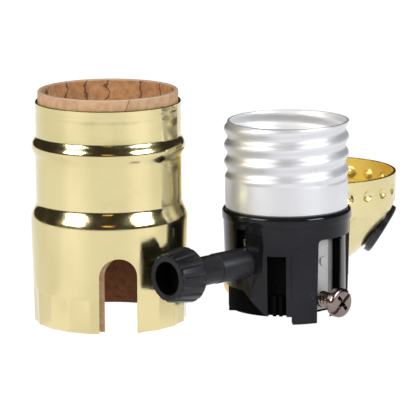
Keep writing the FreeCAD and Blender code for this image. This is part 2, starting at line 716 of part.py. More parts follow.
def detent_spring():
    """Bowed leaf on the chamber floor, under the cam."""
    high = STEM_UP - CAM_CORNER_R - CONTACT_GAP - SPRING_THICK
    path = [(-SPRING_HALF, CHAMBER_FLOOR), (-SPRING_HALF * 0.8, CHAMBER_FLOOR),
            (-SPRING_HALF * 0.3, high), (SPRING_HALF * 0.3, high),
            (SPRING_HALF * 0.8, CHAMBER_FLOOR), (SPRING_HALF, CHAMBER_FLOOR)]
    leaf = spun(strip(path, SPRING_THICK, SPRING_WIDE / 2), 90)
    leaf.translate(Vector(ROTOR_FRONT - CAM_LONG / 2, 0, 0))
    return leaf


def feed_blade():
    """Sprung blade on the chamber wall, from the switched plate's rivet to the rotor contact."""
    wall = -CHAMBER_HALF
    reach = -(ROTOR_R + BRASS + CONTACT_GAP + BRASS)
    finger = ROTOR_BACK - BRASS + FINGER_LONG / 2
    wide = (finger - FINGER_HALF, finger + FINGER_HALF)
    high, bend = PLATE_RIVET_UP + BLADE_ABOVE, STEM_UP + BLADE_BEND
    blade = block((CHAMBER_BACK + BLADE_SHY, CHAMBER_FRONT - BLADE_SHORT), (wall, wall + BRASS),
                  (PLATE_RIVET_UP - BLADE_BELOW, high))
    pad = block(wide, (reach, reach + BRASS), (STEM_UP - BLADE_PAD, bend))
    link = block(wide, (wall, reach + BRASS), (bend - BRASS, bend))
    drop = block(wide, (wall, wall + BRASS), (bend - BRASS, high))
    rivet = rod(PLATE_RIVET_R + RIVET_FIT, -BIG, 0, Vector(0, 1, 0), Vector(0, 0, PLATE_RIVET_UP))
    return blade.fuse([pad, link, drop]).cut(rivet).removeSplitter()


# ---- Screw shell ----
def thread_radius(turn, height):
    """Radius of the rolled thread's outside at an angle in degrees and a height."""
    middle = (THREAD_CREST_R + THREAD_ROOT_R) / 2
    wave = (THREAD_CREST_R - THREAD_ROOT_R) / 2
    crest = THREAD_CREST_UP + THREAD_PITCH * (turn - 180) / 360
    fade = min(1, max(0, (height - THREAD_LOW) / THREAD_FADE), max(0, (THREAD_TOP - height) / THREAD_FADE))
    fade = fade * fade * (3 - 2 * fade)
    threaded = middle + wave * math.cos(2 * math.pi * (height - crest) / THREAD_PITCH)
    return SCREW_SHELL_R + (threaded - SCREW_SHELL_R) * fade


def thread_plug(inset):
    """Solid bounded by one skin of the thread, drawn through its formula, and two discs."""
    low, high = COVER_TOP, SCREW_SHELL_TOP
    rows = round((high - low) / THREAD_PITCH * THREAD_ROWS)
    grid = []
    for column in range(THREAD_COLUMNS + 1):
        angle = 2 * math.pi * (column % THREAD_COLUMNS) / THREAD_COLUMNS
        line = []
        for row in range(rows + 1):
            height = low + (high - low) * row / rows
            turn = 360 * column / THREAD_COLUMNS + KNOB_TURNED
            radius = thread_radius(turn, height) - inset
            line.append(Vector(radius * math.cos(angle), radius * math.sin(angle), height))
        grid.append(line)
    surface = Part.BSplineSurface()
    surface.interpolate(grid)
    skin = surface.toShape()
    discs = []
    for height in (low, high):
        rim = [edge for edge in skin.Edges
               if all(abs(vertex.Z - height) < 1e-6 for vertex in edge.Vertexes)]
        discs.append(Part.Face(Part.Wire(rim)))
    hull = Part.Shell([skin] + discs)
    hull.sewShape()
    solid = Part.Solid(hull)
    if solid.Volume < 0:
        solid.reverse()
    return solid


def screw_shell():
    """Rolled aluminium shell with an inward lip riveted down on the cover."""
    lip = tube(SCREW_SHELL_R - TIN / 2, LIP_R, COVER_TOP, COVER_TOP + TIN)
    shell = thread_plug(0).cut(thread_plug(TIN)).fuse(lip)
    holes = [spun(rod(LIP_RIVET_R + RIVET_FIT, 0, COVER_TOP + 2 * TIN, UP,
                      Vector(LIP_RIVET_AT, 0, 0)), turn) for turn in LIP_RIVET_TURNS]
    return shell.cut(Part.makeCompound(holes))


def lip_rivet(turn):
    base = COVER_TOP + TIN
    rivet = turned(
        (0, BODY_TALL - LIP_RIVET_DEEP), (LIP_RIVET_R, BODY_TALL - LIP_RIVET_DEEP),
        (LIP_RIVET_R, base), *pan_head(LIP_RIVET_HEAD_R, base, LIP_RIVET_HEAD))
    rivet.translate(Vector(LIP_RIVET_AT, 0, 0))
    return spun(rivet, turn)


# ---- Centre contact ----
def centre_rivet_x():
    return (LEG_BACK + STRIP + FOOT_END) / 2


def centre_contact():
    """Folded strip: a leg into the chamber, a foot on the cover, and the raised tongue."""
    tongue = COVER_TOP + TONGUE_RISE
    path = [(LEG_BACK, LEG_LOW), (LEG_BACK, COVER_TOP + STRIP), (FOOT_END, COVER_TOP + STRIP),
            (FOOT_END + 1.6, tongue), (TONGUE_END - 1.2, tongue + STRIP),
            (TONGUE_END, tongue - 0.6)]
    contact = strip(list(reversed(path)), STRIP, STRIP_HALF)
    rivet = rod(CENTRE_RIVET_R + RIVET_FIT, 0, BIG, UP, Vector(centre_rivet_x(), 0, 0))
    return contact.cut(rivet)


def centre_rivet():
    base = COVER_TOP + STRIP
    rivet = turned(
        (0, base - CENTRE_RIVET_LONG), (CENTRE_RIVET_R, base - CENTRE_RIVET_LONG),
        (CENTRE_RIVET_R, base), *pan_head(CENTRE_RIVET_HEAD_R, base, CENTRE_RIVET_HEAD))
    rivet.translate(Vector(centre_rivet_x(), 0, 0))
    return rivet


# ---- Assembly ----
def shell_place():
    """Axis of the shell: it stands against the side of the knob, with its clearance."""
    along = KNOB_FACE - SHELL_BEHIND_FACE
    across = SKIRT_R + KNOB_REAR_R + KNOB_TO_SHELL
    return FreeCAD.Rotation(UP, KNOB_TURNED).multVec(Vector(along, -across, 0))


def nodes():
    """Every piece by name, each in its place on the floor."""
    shell = shell_place()
    cap = Vector(CAP_X, CAP_Y, 0)
    pieces = {
        "outer_shell": outer_shell().translated(shell),
        "shell_liner": shell_liner().translated(shell),
        "cap_shell": cap_shell().translated(cap),
        "cap_hub": cap_hub().translated(cap),
        "hub_set_screw": set_screw().translated(cap),
        "side_outlet_bushing": side_outlet_bushing().translated(cap)}
    interior = {
        "switch_body": switch_body(),
        "body_cover": body_cover(),
        "screw_shell": screw_shell(),
        "screw_shell_rivet_1": lip_rivet(LIP_RIVET_TURNS[0]),
        "screw_shell_rivet_2": lip_rivet(LIP_RIVET_TURNS[1]),
        "centre_contact": centre_contact(),
        "centre_contact_rivet": centre_rivet(),
        "neutral_plate": neutral_plate(),
        "neutral_plate_rivet": plate_rivet(RECESS_FLOOR - 3),
        "neutral_screw": terminal_screw(),
        "switched_plate": switched_plate(),
        "switched_plate_rivet": spun(plate_rivet(CHAMBER_HALF - BRASS), 180),
        "switched_screw": spun(terminal_screw(), 180),
        "knob": knob(),
        "stem_clip": stem_clip(),
        "switch_rotor": rotor(),
        "rotor_contact": rotor_contact(),
        "detent_spring": detent_spring(),
        "feed_blade": feed_blade()}
    for name, shape in interior.items():
        pieces[name] = spun(shape, KNOB_TURNED)
    return pieces


def floor_origin(shapes):
    """Shift that brings the middle of the floor under all pieces to the origin."""
    box = FreeCAD.BoundBox()
    for shape in shapes:
        box.add(shape.optimalBoundingBox(False))
    return Vector(-box.Center.x, -box.Center.y, -box.ZMin)


def main():
    os.makedirs("parts", exist_ok=True)
    pieces = nodes()
    shift = floor_origin(pieces.values())
    for name, shape in pieces.items():
        shape.translated(shift).exportStep(f"parts/{name}.step")
    print("interior axis at", [round(value, 4) for value in shift])


main()
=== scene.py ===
"""Looks of a turn-knob lamp holder that stands taken apart: shell, interior and cap."""
import math

import bpy
from mathutils import Matrix, Vector


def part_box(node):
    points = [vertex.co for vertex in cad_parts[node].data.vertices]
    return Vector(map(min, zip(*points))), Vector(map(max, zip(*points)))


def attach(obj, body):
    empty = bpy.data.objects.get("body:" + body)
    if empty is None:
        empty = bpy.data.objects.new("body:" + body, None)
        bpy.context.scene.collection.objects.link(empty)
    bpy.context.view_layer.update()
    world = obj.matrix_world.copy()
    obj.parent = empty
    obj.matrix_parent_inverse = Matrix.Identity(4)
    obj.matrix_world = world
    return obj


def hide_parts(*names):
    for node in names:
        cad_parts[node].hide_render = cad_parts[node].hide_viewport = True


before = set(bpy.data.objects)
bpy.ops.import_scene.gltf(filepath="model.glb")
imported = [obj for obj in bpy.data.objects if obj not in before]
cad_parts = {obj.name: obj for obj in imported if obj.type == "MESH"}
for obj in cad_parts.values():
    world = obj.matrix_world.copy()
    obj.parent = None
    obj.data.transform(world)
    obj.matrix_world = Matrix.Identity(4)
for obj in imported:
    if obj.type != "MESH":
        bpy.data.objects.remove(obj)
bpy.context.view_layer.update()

# ---- Set: camera, floor and lights ----
# A long lens a little above the floor, a white sweep whose glow carries a painted pool of light
# before each soft box and a painted falloff to dark far away, two soft boxes and a small warm lamp
# in front, and a dim room. The axes come from the frame.
MM = 0.001


def axis_of(node):
    """Upright axis of a node of the frame, through the middle of its box."""
    low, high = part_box(node)
    return (low.x + high.x) / 2, (low.y + high.y) / 2


INTERIOR = axis_of("screw_shell")
SHELL = axis_of("outer_shell")
CAP = axis_of("cap_hub")

CAMERA_BACK = 737.5 * MM
CAMERA_LEFT = 17.0 * MM
CAMERA_UP = 167.15 * MM
CAMERA_DOWN = 0.193
CAMERA_ROLL = -0.007
CAMERA_LENS, CAMERA_SENSOR = 300.8, 36
camera_data = bpy.data.cameras.new("camera")
camera_data.lens = CAMERA_LENS
camera_data.sensor_width = CAMERA_SENSOR
camera = bpy.data.objects.new("camera", camera_data)
bpy.context.scene.collection.objects.link(camera)
camera.matrix_world = (
    Matrix.Translation((INTERIOR[0] - CAMERA_LEFT, INTERIOR[1] - CAMERA_BACK, CAMERA_UP))
    @ Matrix.Rotation(math.pi / 2 - CAMERA_DOWN, 4, "X")
    @ Matrix.Rotation(CAMERA_ROLL, 4, "Z"))
bpy.context.scene.camera = camera
bpy.context.scene.view_settings.view_transform = "Standard"


def math_node(tree, operation, *values):
    """Math node over values that are numbers or sockets."""
    node = tree.nodes.new("ShaderNodeMath")
    node.operation = operation
    for socket, value in zip(node.inputs, values):
        if isinstance(value, (int, float)):
            socket.default_value = value
        else:
            tree.links.new(value, socket)
    return node.outputs[0]


def ranged(tree, value, start, end, to_start=0.0, to_end=1.0):
    """A value taken smoothly from one range to another, and held at the ends."""
    node = tree.nodes.new("ShaderNodeMapRange")
    node.interpolation_type = "SMOOTHSTEP"
    tree.links.new(value, node.inputs["Value"])
    for socket, bound in (("From Min", start), ("From Max", end),
                          ("To Min", to_start), ("To Max", to_end)):
        if isinstance(bound, (int, float)):
            node.inputs[socket].default_value = bound
        else:
            tree.links.new(bound, node.inputs[socket])
    return node.outputs["Result"]


def blended(tree, share, first, second):
    """Colour between two colours, which are triples or sockets."""
    node = tree.nodes.new("ShaderNodeMix")
    node.data_type = "RGBA"
    tree.links.new(share, node.inputs["Factor"])
    colours = [socket for socket in node.inputs if socket.type == "RGBA"]
    for socket, colour in zip(colours, (first, second)):
        if isinstance(colour, tuple):
            socket.default_value = (*colour, 1)
        else:
            tree.links.new(colour, socket)
    return next(socket for socket in node.outputs if socket.type == "RGBA")


def off(tree, point):
    """Distance of the shaded spot from a point, in the object's own coordinates."""
    place = tree.nodes.new("ShaderNodeTexCoord")
    node = tree.nodes.new("ShaderNodeVectorMath")
    node.operation = "DISTANCE"
    tree.links.new(place.outputs["Object"], node.inputs[0])
    node.inputs[1].default_value = point
    return node.outputs["Value"]


FLOOR_HALF = 4.0
SWEEP_GLOW = 1.35
SWEEP_PLAIN, SWEEP_PAINTED_POOL, SWEEP_PAINTED_FALLOFF = (0.745, 0.745, 0.745), (0.88, 0.86, 0.90), (0.09, 0.08, 0.07)
PAINTED_FALLOFF_FADES = (0.75, 2.4)
# Where the two painted pools of light in the floor's glow begin and end, in radians round the shell
# from its front.
PAINTED_POOL_STARTS, PAINTED_POOL_ENDS = (0.35, 0.80), (1.35, 1.02)
floor_mesh = bpy.data.meshes.new("floor")
floor_mesh.from_pydata(
    [(x * FLOOR_HALF, y * FLOOR_HALF, 0) for x, y in ((-1, -1), (1, -1), (1, 1), (-1, 1))],
    [], [(0, 1, 2, 3)])
floor = bpy.data.objects.new("floor", floor_mesh)
bpy.context.scene.collection.objects.link(floor)
white = bpy.data.materials.new("white_sweep")
white.use_nodes = True
tree = white.node_tree
sweep = tree.nodes["Principled BSDF"]
sweep.inputs["Base Color"].default_value = (0.05, 0.05, 0.05, 1)
sweep.inputs["Roughness"].default_value = 0.9
sweep.inputs["Emission Strength"].default_value = SWEEP_GLOW
place = tree.nodes.new("ShaderNodeTexCoord")
spot = tree.nodes.new("ShaderNodeSeparateXYZ")
tree.links.new(place.outputs["Object"], spot.inputs[0])
aside = math_node(tree, "SUBTRACT", spot.outputs[0], SHELL[0])
ahead = math_node(tree, "SUBTRACT", SHELL[1], spot.outputs[1])
way = math_node(tree, "ABSOLUTE", math_node(tree, "ARCTAN2", aside, ahead))
# Painted light: the floor's glow is brighter in a pool before each soft box, and falls off to dark
# far away.
painted_pools = math_node(tree, "MULTIPLY", ranged(tree, way, *PAINTED_POOL_STARTS), ranged(tree, way, *PAINTED_POOL_ENDS))
near = blended(tree, painted_pools, SWEEP_PLAIN, SWEEP_PAINTED_POOL)
painted_falloff = ranged(tree, off(tree, (0, 0, 0)), *PAINTED_FALLOFF_FADES)
tree.links.new(blended(tree, painted_falloff, near, SWEEP_PAINTED_FALLOFF), sweep.inputs["Emission Color"])
floor_mesh.materials.append(white)

# Each lamp's name, place, width, height, tint and power; all face the middle of the floor.
lamps = [("soft_box_left", (-0.62, -0.44, 0.42), 0.40, 0.36, (1.0, 0.98, 0.95), 6.0),
         ("soft_box_right", (0.62, -0.44, 0.42), 0.40, 0.36, (0.95, 0.98, 1.0), 6.0),
         ("warm_lamp", (-0.03, -0.80, 0.33), 0.20, 0.05, (1.0, 0.60, 0.20), 0.09)]
for name, place, wide, tall, tint, power in lamps:
    lamp_data = bpy.data.lights.new(name, "AREA")
    lamp_data.shape = "RECTANGLE"
    lamp_data.size, lamp_data.size_y = wide, tall
    lamp_data.color, lamp_data.energy = tint, power
    lamp = bpy.data.objects.new(name, lamp_data)
    lamp.location = Vector(place)
    lamp.rotation_mode = "QUATERNION"
    lamp.rotation_quaternion = lamp.location.to_track_quat("Z", "Y")
    bpy.context.scene.collection.objects.link(lamp)

ROOM_GLOW = (0.042, 0.035, 0.026, 1)
room = bpy.data.worlds.new("dim_room")
room.use_nodes = True
room.node_tree.nodes["Background"].inputs["Color"].default_value = ROOM_GLOW
bpy.context.scene.world = room

# ---- Outer shell ----
# Drawn brass sheet, thin and bright: a bead under the rolled rim, a shoulder, a long skirt and
# a crimped band at the foot. The arched slot that lets the stem through is punched last.
SHEET = 0.40
SHELL_TALL = 47.6
NECK_R, RIM_R, WAIST_R, RIM_GROOVE = 15.55, 15.68, 15.62, 0.045
NECK_END, GROOVE_DOWN, RIM_TALL, RIM_EDGE, RIM_IN = 3.2, 1.9, 0.9, 0.15, 0.06
BEAD_R, BEAD_UP, BEAD_HALF = 16.47, 38.0, 2.5
SHOULDER_TOP, SHOULDER_LOW = 26.2, 22.0
SKIRT_R, SKIRT_LOW_R = 16.83, 16.45
CRIMP_R, CRIMP_TALL, CRIMP_FADE = 16.28, 8.0, 1.1
CRIMP_FLUTES, CRIMP_DEEP, CRIMP_TURNED = 20, 0.32, -103.4
SLOT_WIDE, SLOT_TALL, SLOT_TURNED = 8.1, 16.3, -82.3
ARCH_STEPS, TOOL_REACH = 24, 60
SHARP = math.radians(32)


def ease(share):
    """Smooth step from 0 to 1."""
    share = min(1.0, max(0.0, share))
    return share * share * (3 - 2 * share)


def sheet_metal_line(*steps):
    """Radii and heights of a drawn wall. A step is (height, radius, rows, lean): more than 3 rows
    ease in, and a lean over 1 keeps the bend for the end of the step."""
    height, radius = steps[0][:2]
    line = [(radius, height)]
    for high, wide, rows, *lean in steps[1:]:
        for row in range(1, rows + 1):
            share = row / rows
            bend = ease(share ** (lean[0] if lean else 1.0)) if rows > 3 else share
            line.append((radius + (wide - radius) * bend, height + (high - height) * share))
        height, radius = high, wide
    return line


def thin_wall(line, sheet):
    """Closed outline of a wall: its outer line, then its inner one, with the depth of each."""
    outside = [(radius, height, 0.0) for radius, height in line]
    inside = [(radius - sheet, height, sheet) for radius, height in reversed(line)]
    return outside + inside


def meshed(name, vertices, faces):
    """A new piece, smooth but for its sharp edges."""
    mesh = bpy.data.meshes.new(name)
    mesh.from_pydata(vertices, [], faces)
    mesh.update()
    mesh.shade_smooth()
    mesh.set_sharp_from_angle(angle=SHARP)
    piece = bpy.data.objects.new(name, mesh)
    bpy.context.scene.collection.objects.link(piece)
    return piece


def revolved(name, outline, columns, moved=None):
    """Closed outline of (radius, height, depth), turned about Z; moved(turn, radius, height, depth)
    gives a bent place for each point as (turn, radius, height)."""
    turns = [2 * math.pi * column / columns for column in range(columns)]
    vertices, faces, rings = [], [], []
    for radius, height, *depth in outline:
        if radius < 1e-6:
            vertices.append((0, 0, height))
            rings.append([len(vertices) - 1] * columns)
            continue
        rings.append([len(vertices) + column for column in range(columns)])
        for turn in turns:
            way, reach, level = turn, radius, height
            if moved:
                way, reach, level = moved(turn, radius, height, depth[0] if depth else 0.0)
            vertices.append((reach * math.cos(way), reach * math.sin(way), level))
    for low, high in zip(rings, rings[1:] + rings[:1]):
        for column in range(columns):
            after = (column + 1) % columns
            corners = list(dict.fromkeys((low[column], low[after], high[after], high[column])))
            if len(corners) > 2:
                faces.append(corners)
    return meshed(name, vertices, faces)


def prism(name, outline, low, high):
    """Upright prism over a flat outline given anticlockwise."""
    count = len(outline)
    vertices = [(x, y, level) for level in (low, high) for x, y in outline]
    faces = [list(range(count - 1, -1, -1)), list(range(count, 2 * count))]
    for index in range(count):
        after = (index + 1) % count
        faces.append((index, after, count + after, count + index))
    return meshed(name, vertices, faces)


def worked(piece, tools, operation="DIFFERENCE", bevel=0.0):
    """Cuts or joins tools on a piece, then breaks its sharp edges by the bevel."""
    for tool in tools:
        change = piece.modifiers.new("tool", "BOOLEAN")
        change.operation, change.object, change.solver = operation, tool, "EXACT"
    if bevel:
        change = piece.modifiers.new("edges", "BEVEL")
        change.width, change.segments, change.limit_method = bevel, 2, "ANGLE"
        change.angle_limit = math.radians(40)
    bpy.context.view_layer.update()
    evaluated = piece.evaluated_get(bpy.context.evaluated_depsgraph_get())
    mesh = bpy.data.meshes.new_from_object(evaluated)
    piece.modifiers.clear()
    piece.data = mesh
    for tool in tools:
        bpy.data.objects.remove(tool)
    mesh.shade_smooth()
    mesh.set_sharp_from_angle(angle=SHARP)
    return piece


def finished(piece, material, second=None, where=None):
    """Gives a piece its material, and a second one to faces that where(centre, normal) picks."""
    piece.data.materials.clear()
    piece.data.materials.append(material)
    if second:
        piece.data.materials.append(second)
        for face in piece.data.polygons:
            face.material_index = int(where(face.center, face.normal))


def stand(piece, axis, turned=0.0):
    """Takes a piece made in millimetres about Z to its group's axis."""
    piece.data.transform(Matrix.Translation((axis[0], axis[1], 0))
                         @ Matrix.Rotation(math.radians(turned), 4, "Z") @ Matrix.Scale(MM, 4))
    piece.data.update()
    return piece


def crimped(turn, radius, height, depth):
    """Presses the flutes of the crimped band, which die out at its top."""
    share = 1 - ease((height - CRIMP_TALL + CRIMP_FADE) / CRIMP_FADE)
    if share <= 0:
        return turn, radius, height
    phase = (turn - math.radians(CRIMP_TURNED)) * CRIMP_FLUTES / (2 * math.pi) % 1
    return turn, radius - CRIMP_DEEP * share * (1 - (2 * phase - 1) ** 2), height


def arch(further=0.0):
    """Tool of the stem's slot: an upright-sided arch that points out along -Y."""
    half = SLOT_WIDE / 2
    rise = SLOT_TALL - half
    turns = [math.pi * step / ARCH_STEPS for step in range(ARCH_STEPS + 1)]
    line = [(half * math.cos(turn), rise + half * math.sin(turn)) for turn in turns]
    tool = prism("slot_tool", [(half, -1.0), *line, (-half, -1.0)], 0, TOOL_REACH)
    tool.data.transform(Matrix.Rotation(math.radians(90), 4, "X"))
    tool.data.transform(Matrix.Rotation(math.radians(SLOT_TURNED + further + 90), 4, "Z"))
    return tool


def effect(name, inputs, outputs):
    """An empty node group for an effect that several materials share, and its two ends."""
    group = bpy.data.node_groups.new(name, "ShaderNodeTree")
    for socket, value in inputs.items():
        made = group.interface.new_socket(socket, in_out="INPUT", socket_type="NodeSocketFloat")
        made.default_value = value
    for socket in outputs:
        group.interface.new_socket(socket, in_out="OUTPUT", socket_type="NodeSocketFloat")
    takes = group.nodes.new("NodeGroupInput").outputs
    gives = group.nodes.new("NodeGroupOutput").inputs
    return group, takes, gives


def noise(tree, scale, detail, stretch=(1, 1, 1)):
    """Noise over the object's own coordinates, stretched along the axes."""
    place = tree.nodes.new("ShaderNodeTexCoord")
    mapping = tree.nodes.new("ShaderNodeMapping")
    mapping.inputs["Scale"].default_value = stretch
    texture = tree.nodes.new("ShaderNodeTexNoise")
    texture.inputs["Detail"].default_value = detail
    if isinstance(scale, (int, float)):
        texture.inputs["Scale"].default_value = scale
    else:
        tree.links.new(scale, texture.inputs["Scale"])
    tree.links.new(place.outputs["Object"], mapping.inputs["Vector"])
    tree.links.new(mapping.outputs["Vector"], texture.inputs["Vector"])
    return texture.outputs["Fac"]


def effect_in(tree, group, **values):
    """Places a shared effect in a material, with the material's own values."""
    node = tree.nodes.new("ShaderNodeGroup")
    node.node_tree = group
    for socket, value in values.items():
        node.inputs[socket].default_value = value
    return node.outputs


handling, takes, gives = effect(
    "handling", {"Clouding": 60.0, "Smears": 260.0, "Polished": 0.15, "Dulled": 0.3},
    ("Clouds", "Roughness"))
clouds = ranged(handling, noise(handling, takes["Clouding"], 3), 0.35, 0.65)
handling.links.new(clouds, gives["Clouds"])
smears = ranged(handling, noise(handling, takes["Smears"], 6), 0.35, 0.7,
                takes["Polished"], takes["Dulled"])
handling.links.new(smears, gives["Roughness"])

drawing_lines, takes, gives = effect("drawing_lines", {"Fineness": 900.0}, ("Round", "Upright"))
for way, stretch in (("Round", (0.06, 0.06, 2.5)), ("Upright", (2.5, 2.5, 0.08))):
    drawing_lines.links.new(noise(drawing_lines, takes["Fineness"], 4, stretch), gives[way])

SCRATCH_WIDE = 0.012
scuffing, takes, gives = effect(
    "scuffing", {"Scratches": 500.0, "Patches": 70.0, "Least": 0.62}, ("Scuffs",))
scratch = math_node(scuffing, "ABSOLUTE", math_node(
    scuffing, "SUBTRACT", noise(scuffing, takes["Scratches"], 2, (1, 1, 0.5)), 0.5))
scratch = ranged(scuffing, scratch, SCRATCH_WIDE, 0.0)
patch = math_node(scuffing, "GREATER_THAN", noise(scuffing, takes["Patches"], 2), takes["Least"])
scuffing.links.new(math_node(scuffing, "MULTIPLY", scratch, patch), gives["Scuffs"])


def plain(name, colour, roughness, metallic=0.0, **values):
    """A new material with the values that are the same all over set on its shader."""
    made = bpy.data.materials.new(name)
    made.use_nodes = True
    shader = made.node_tree.nodes["Principled BSDF"]
    shader.inputs["Base Color"].default_value = (*colour, 1)
    shader.inputs["Roughness"].default_value = roughness
    shader.inputs["Metallic"].default_value = metallic
    for socket, value in values.items():
        shader.inputs[socket.replace("_", " ")].default_value = value
    return made


def raised(tree, height, distance):
    """Bump of a height, in metres, into the material's shader."""
    bump = tree.nodes.new("ShaderNodeBump")
    bump.inputs["Distance"].default_value = distance
    tree.links.new(height, bump.inputs["Height"])
    tree.links.new(bump.outputs["Normal"], tree.nodes["Principled BSDF"].inputs["Normal"])


SCUFF_SHARE = 0.45


def sheet_metal(name, light, dark, polished, dulled, scuffed=(0.30, 0.26, 0.16), least=0.62,
                lines=0.000004, upright=0.5, **values):
    """Metal with faint clouding, finger smears, drawing lines as high as lines says, in metres,
    and a few scuffs, fewer the higher least is."""
    made = plain(name, light, polished, **{"metallic": 1.0, **values})
    tree = made.node_tree
    shader = tree.nodes["Principled BSDF"]
    touched = effect_in(tree, handling, Polished=polished, Dulled=dulled)
    scuffs = effect_in(tree, scuffing, Least=least)["Scuffs"]
    clouded = blended(tree, touched["Clouds"], dark, light)
    worn = blended(tree, math_node(tree, "MULTIPLY", scuffs, SCUFF_SHARE), clouded, scuffed)
    tree.links.new(worn, shader.inputs["Base Color"])
    tree.links.new(touched["Roughness"], shader.inputs["Roughness"])
    drawn = effect_in(tree, drawing_lines)
    height = math_node(tree, "ADD", drawn["Round"],
                       math_node(tree, "MULTIPLY", drawn["Upright"], upright))
    raised(tree, height, lines)
    return made


shell_line = sheet_metal_line(
    (0, CRIMP_R, 0), (CRIMP_TALL - CRIMP_FADE, SKIRT_LOW_R - 0.03, 3),
    (CRIMP_TALL, SKIRT_LOW_R, 8), (SHOULDER_LOW, SKIRT_R, 3), (SHOULDER_TOP, WAIST_R, 20, 1.25),
    (BEAD_UP - BEAD_HALF, WAIST_R, 2), (BEAD_UP, BEAD_R, 12), (BEAD_UP + BEAD_HALF, NECK_R, 14, 1.2),
    (SHELL_TALL - NECK_END, NECK_R, 2), (SHELL_TALL - GROOVE_DOWN, NECK_R - RIM_GROOVE, 6),
    (SHELL_TALL - RIM_TALL, RIM_R - RIM_IN, 6), (SHELL_TALL - RIM_EDGE, RIM_R - RIM_IN, 1),
    (SHELL_TALL, RIM_R - RIM_IN - 0.1, 1))
outer_shell = revolved("bright_shell", thin_wall(shell_line, SHEET), 320, crimped)
outer_shell = stand(worked(outer_shell, [arch()]), SHELL)
brass = sheet_metal("bright_brass", (0.69, 0.605, 0.325), (0.64, 0.555, 0.29), 0.12, 0.20,
                    lines=0.000006, upright=1.0)
finished(outer_shell, brass)
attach(outer_shell, "root")
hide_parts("outer_shell")

# ---- Liner ----
# Insulating tube of brown card, rolled with a diagonal lap on its outside, and slotted with the
# shell. It stands proud of the rim, and its inner ply has cracked where it was bent.
LINER_FIT, LINER_WALL, LINER_LOW, LINER_PROUD = 0.04, 1.0, 0.3, 2.3
LINER_SLOT_ON, LINER_WORN, LINER_WORN_DOWN = 5.0, 0.2, 0.25
GROOVE_ROOM = 0.09
LINER_R = NECK_R - GROOVE_ROOM - SHEET - LINER_FIT
LINER_TOP = SHELL_TALL + LINER_PROUD
LAP_TURNED, LAP_LEAN, LAP_DEEP, LAP_FADES, LAP_WIDE = -70.6, -1.5, 0.16, 70, (0.8, 0.25)
# Each ply is mottled between two browns; low down, the inner ply is painted darker, as painted shade
# deep in the tube.
OUTER_PLY = (0.41, 0.245, 0.130), (0.50, 0.315, 0.180)
INNER_PLY, INNER_STARTS = ((0.39, 0.185, 0.075), (0.52, 0.27, 0.12)), (0.75, 0.55)
DEEP_PAINTED_SHADE, DEEP_PAINTED_SHADE_FADES = ((0.135, 0.042, 0.010), (0.185, 0.062, 0.015)), (0.030, 0.014)
CUT_CARD, CRACKED, LAP_SHADE = (0.56, 0.42, 0.31), (0.08, 0.03, 0.012), (0.16, 0.07, 0.035)
CUT_STARTS, FIBRE_HIGH, CRACK_DEEP = (0.28, 0.12), 0.00004, -3.0
CRACKS_ROUND, CRACKS_UP, CRACK_BENDS, CRACK_RIPPLE = 0.16, 28.0, 7.0, 1.6
CRACK_WANDER, CRACK_WIDE = (0.8, 0.5, 0.0), (0.05, 0.012)


def lapped(turn, radius, height, depth):
    """Steps the outer ply in at the lap, whose edge leans as it goes down."""
    lean = math.radians(LAP_LEAN) * min(LINER_TOP - height, LINER_PROUD + 1)
    if depth == 0 and height > SHELL_TALL - 1:
        past = (math.degrees(turn) - LAP_TURNED) % 360
        radius -= LAP_DEEP * (1 - ease(past / LAP_FADES)) if past > 0.01 else 0
    return turn + lean, radius, height


liner_outline = [
    (LINER_R, LINER_LOW, 0.0), (LINER_R, SHELL_TALL - 1, 0.0), (LINER_R, SHELL_TALL - 0.5, 0.0),
    (LINER_R, SHELL_TALL, 0.0), (LINER_R, LINER_TOP - LINER_WORN_DOWN, 0.0),
    (LINER_R - LINER_WORN, LINER_TOP, 0.5), (LINER_R - LINER_WALL + LINER_WORN, LINER_TOP, 1.0),
    (LINER_R - LINER_WALL, LINER_TOP - LINER_WORN_DOWN - 0.05, 1.0),
    (LINER_R - LINER_WALL, LINER_LOW, 1.0)]
shell_liner = revolved("card_liner", liner_outline, 240, lapped)
shell_liner = stand(worked(shell_liner, [arch(LINER_SLOT_ON)]), SHELL)


def vector_node(tree, operation, *values):
    """Vector math node over values that are triples or sockets."""
    node = tree.nodes.new("ShaderNodeVectorMath")
    node.operation = operation
    for socket, value in zip(node.inputs, values):
        if isinstance(value, tuple):
            socket.default_value = value
        else:
            tree.links.new(value, socket)
    return node.outputs["Vector"]


def cracks_of(tree, round_way, height):
    """Long upright cracks that wander, from the distance round the tube and the height."""
    spread = tree.nodes.new("ShaderNodeCombineXYZ")
    tree.links.new(math_node(tree, "MULTIPLY", round_way, CRACKS_ROUND), spread.inputs[0])
    tree.links.new(math_node(tree, "MULTIPLY", height, CRACKS_UP), spread.inputs[1])
    ripple = tree.nodes.new("ShaderNodeTexNoise")
    ripple.inputs["Scale"].default_value = CRACK_RIPPLE
    tree.links.new(vector_node(tree, "MULTIPLY", spread.outputs[0], (1.0, CRACK_BENDS, 1.0)),
                   ripple.inputs["Vector"])
    cells = tree.nodes.new("ShaderNodeTexVoronoi")
    cells.voronoi_dimensions, cells.feature = "2D", "DISTANCE_TO_EDGE"
    cells.inputs["Scale"].default_value = 1.0
    tree.links.new(vector_node(tree, "MULTIPLY_ADD", ripple.outputs["Color"], CRACK_WANDER,
                               spread.outputs[0]), cells.inputs["Vector"])
    return ranged(tree, cells.outputs["Distance"], *CRACK_WIDE)


def lap_edge(tree, round_way, height):
    """Mask of the thin shade along the edge of the lap."""
    lean = math_node(tree, "MULTIPLY", math_node(tree, "SUBTRACT", LINER_TOP * MM, height),
                     LAP_LEAN / MM)
    degrees = math_node(tree, "DIVIDE", round_way, LINER_R * math.pi / 180)
    away = math_node(tree, "SUBTRACT", degrees, math_node(tree, "ADD", lean, LAP_TURNED))
    return ranged(tree, math_node(tree, "ABSOLUTE", away), *LAP_WIDE)


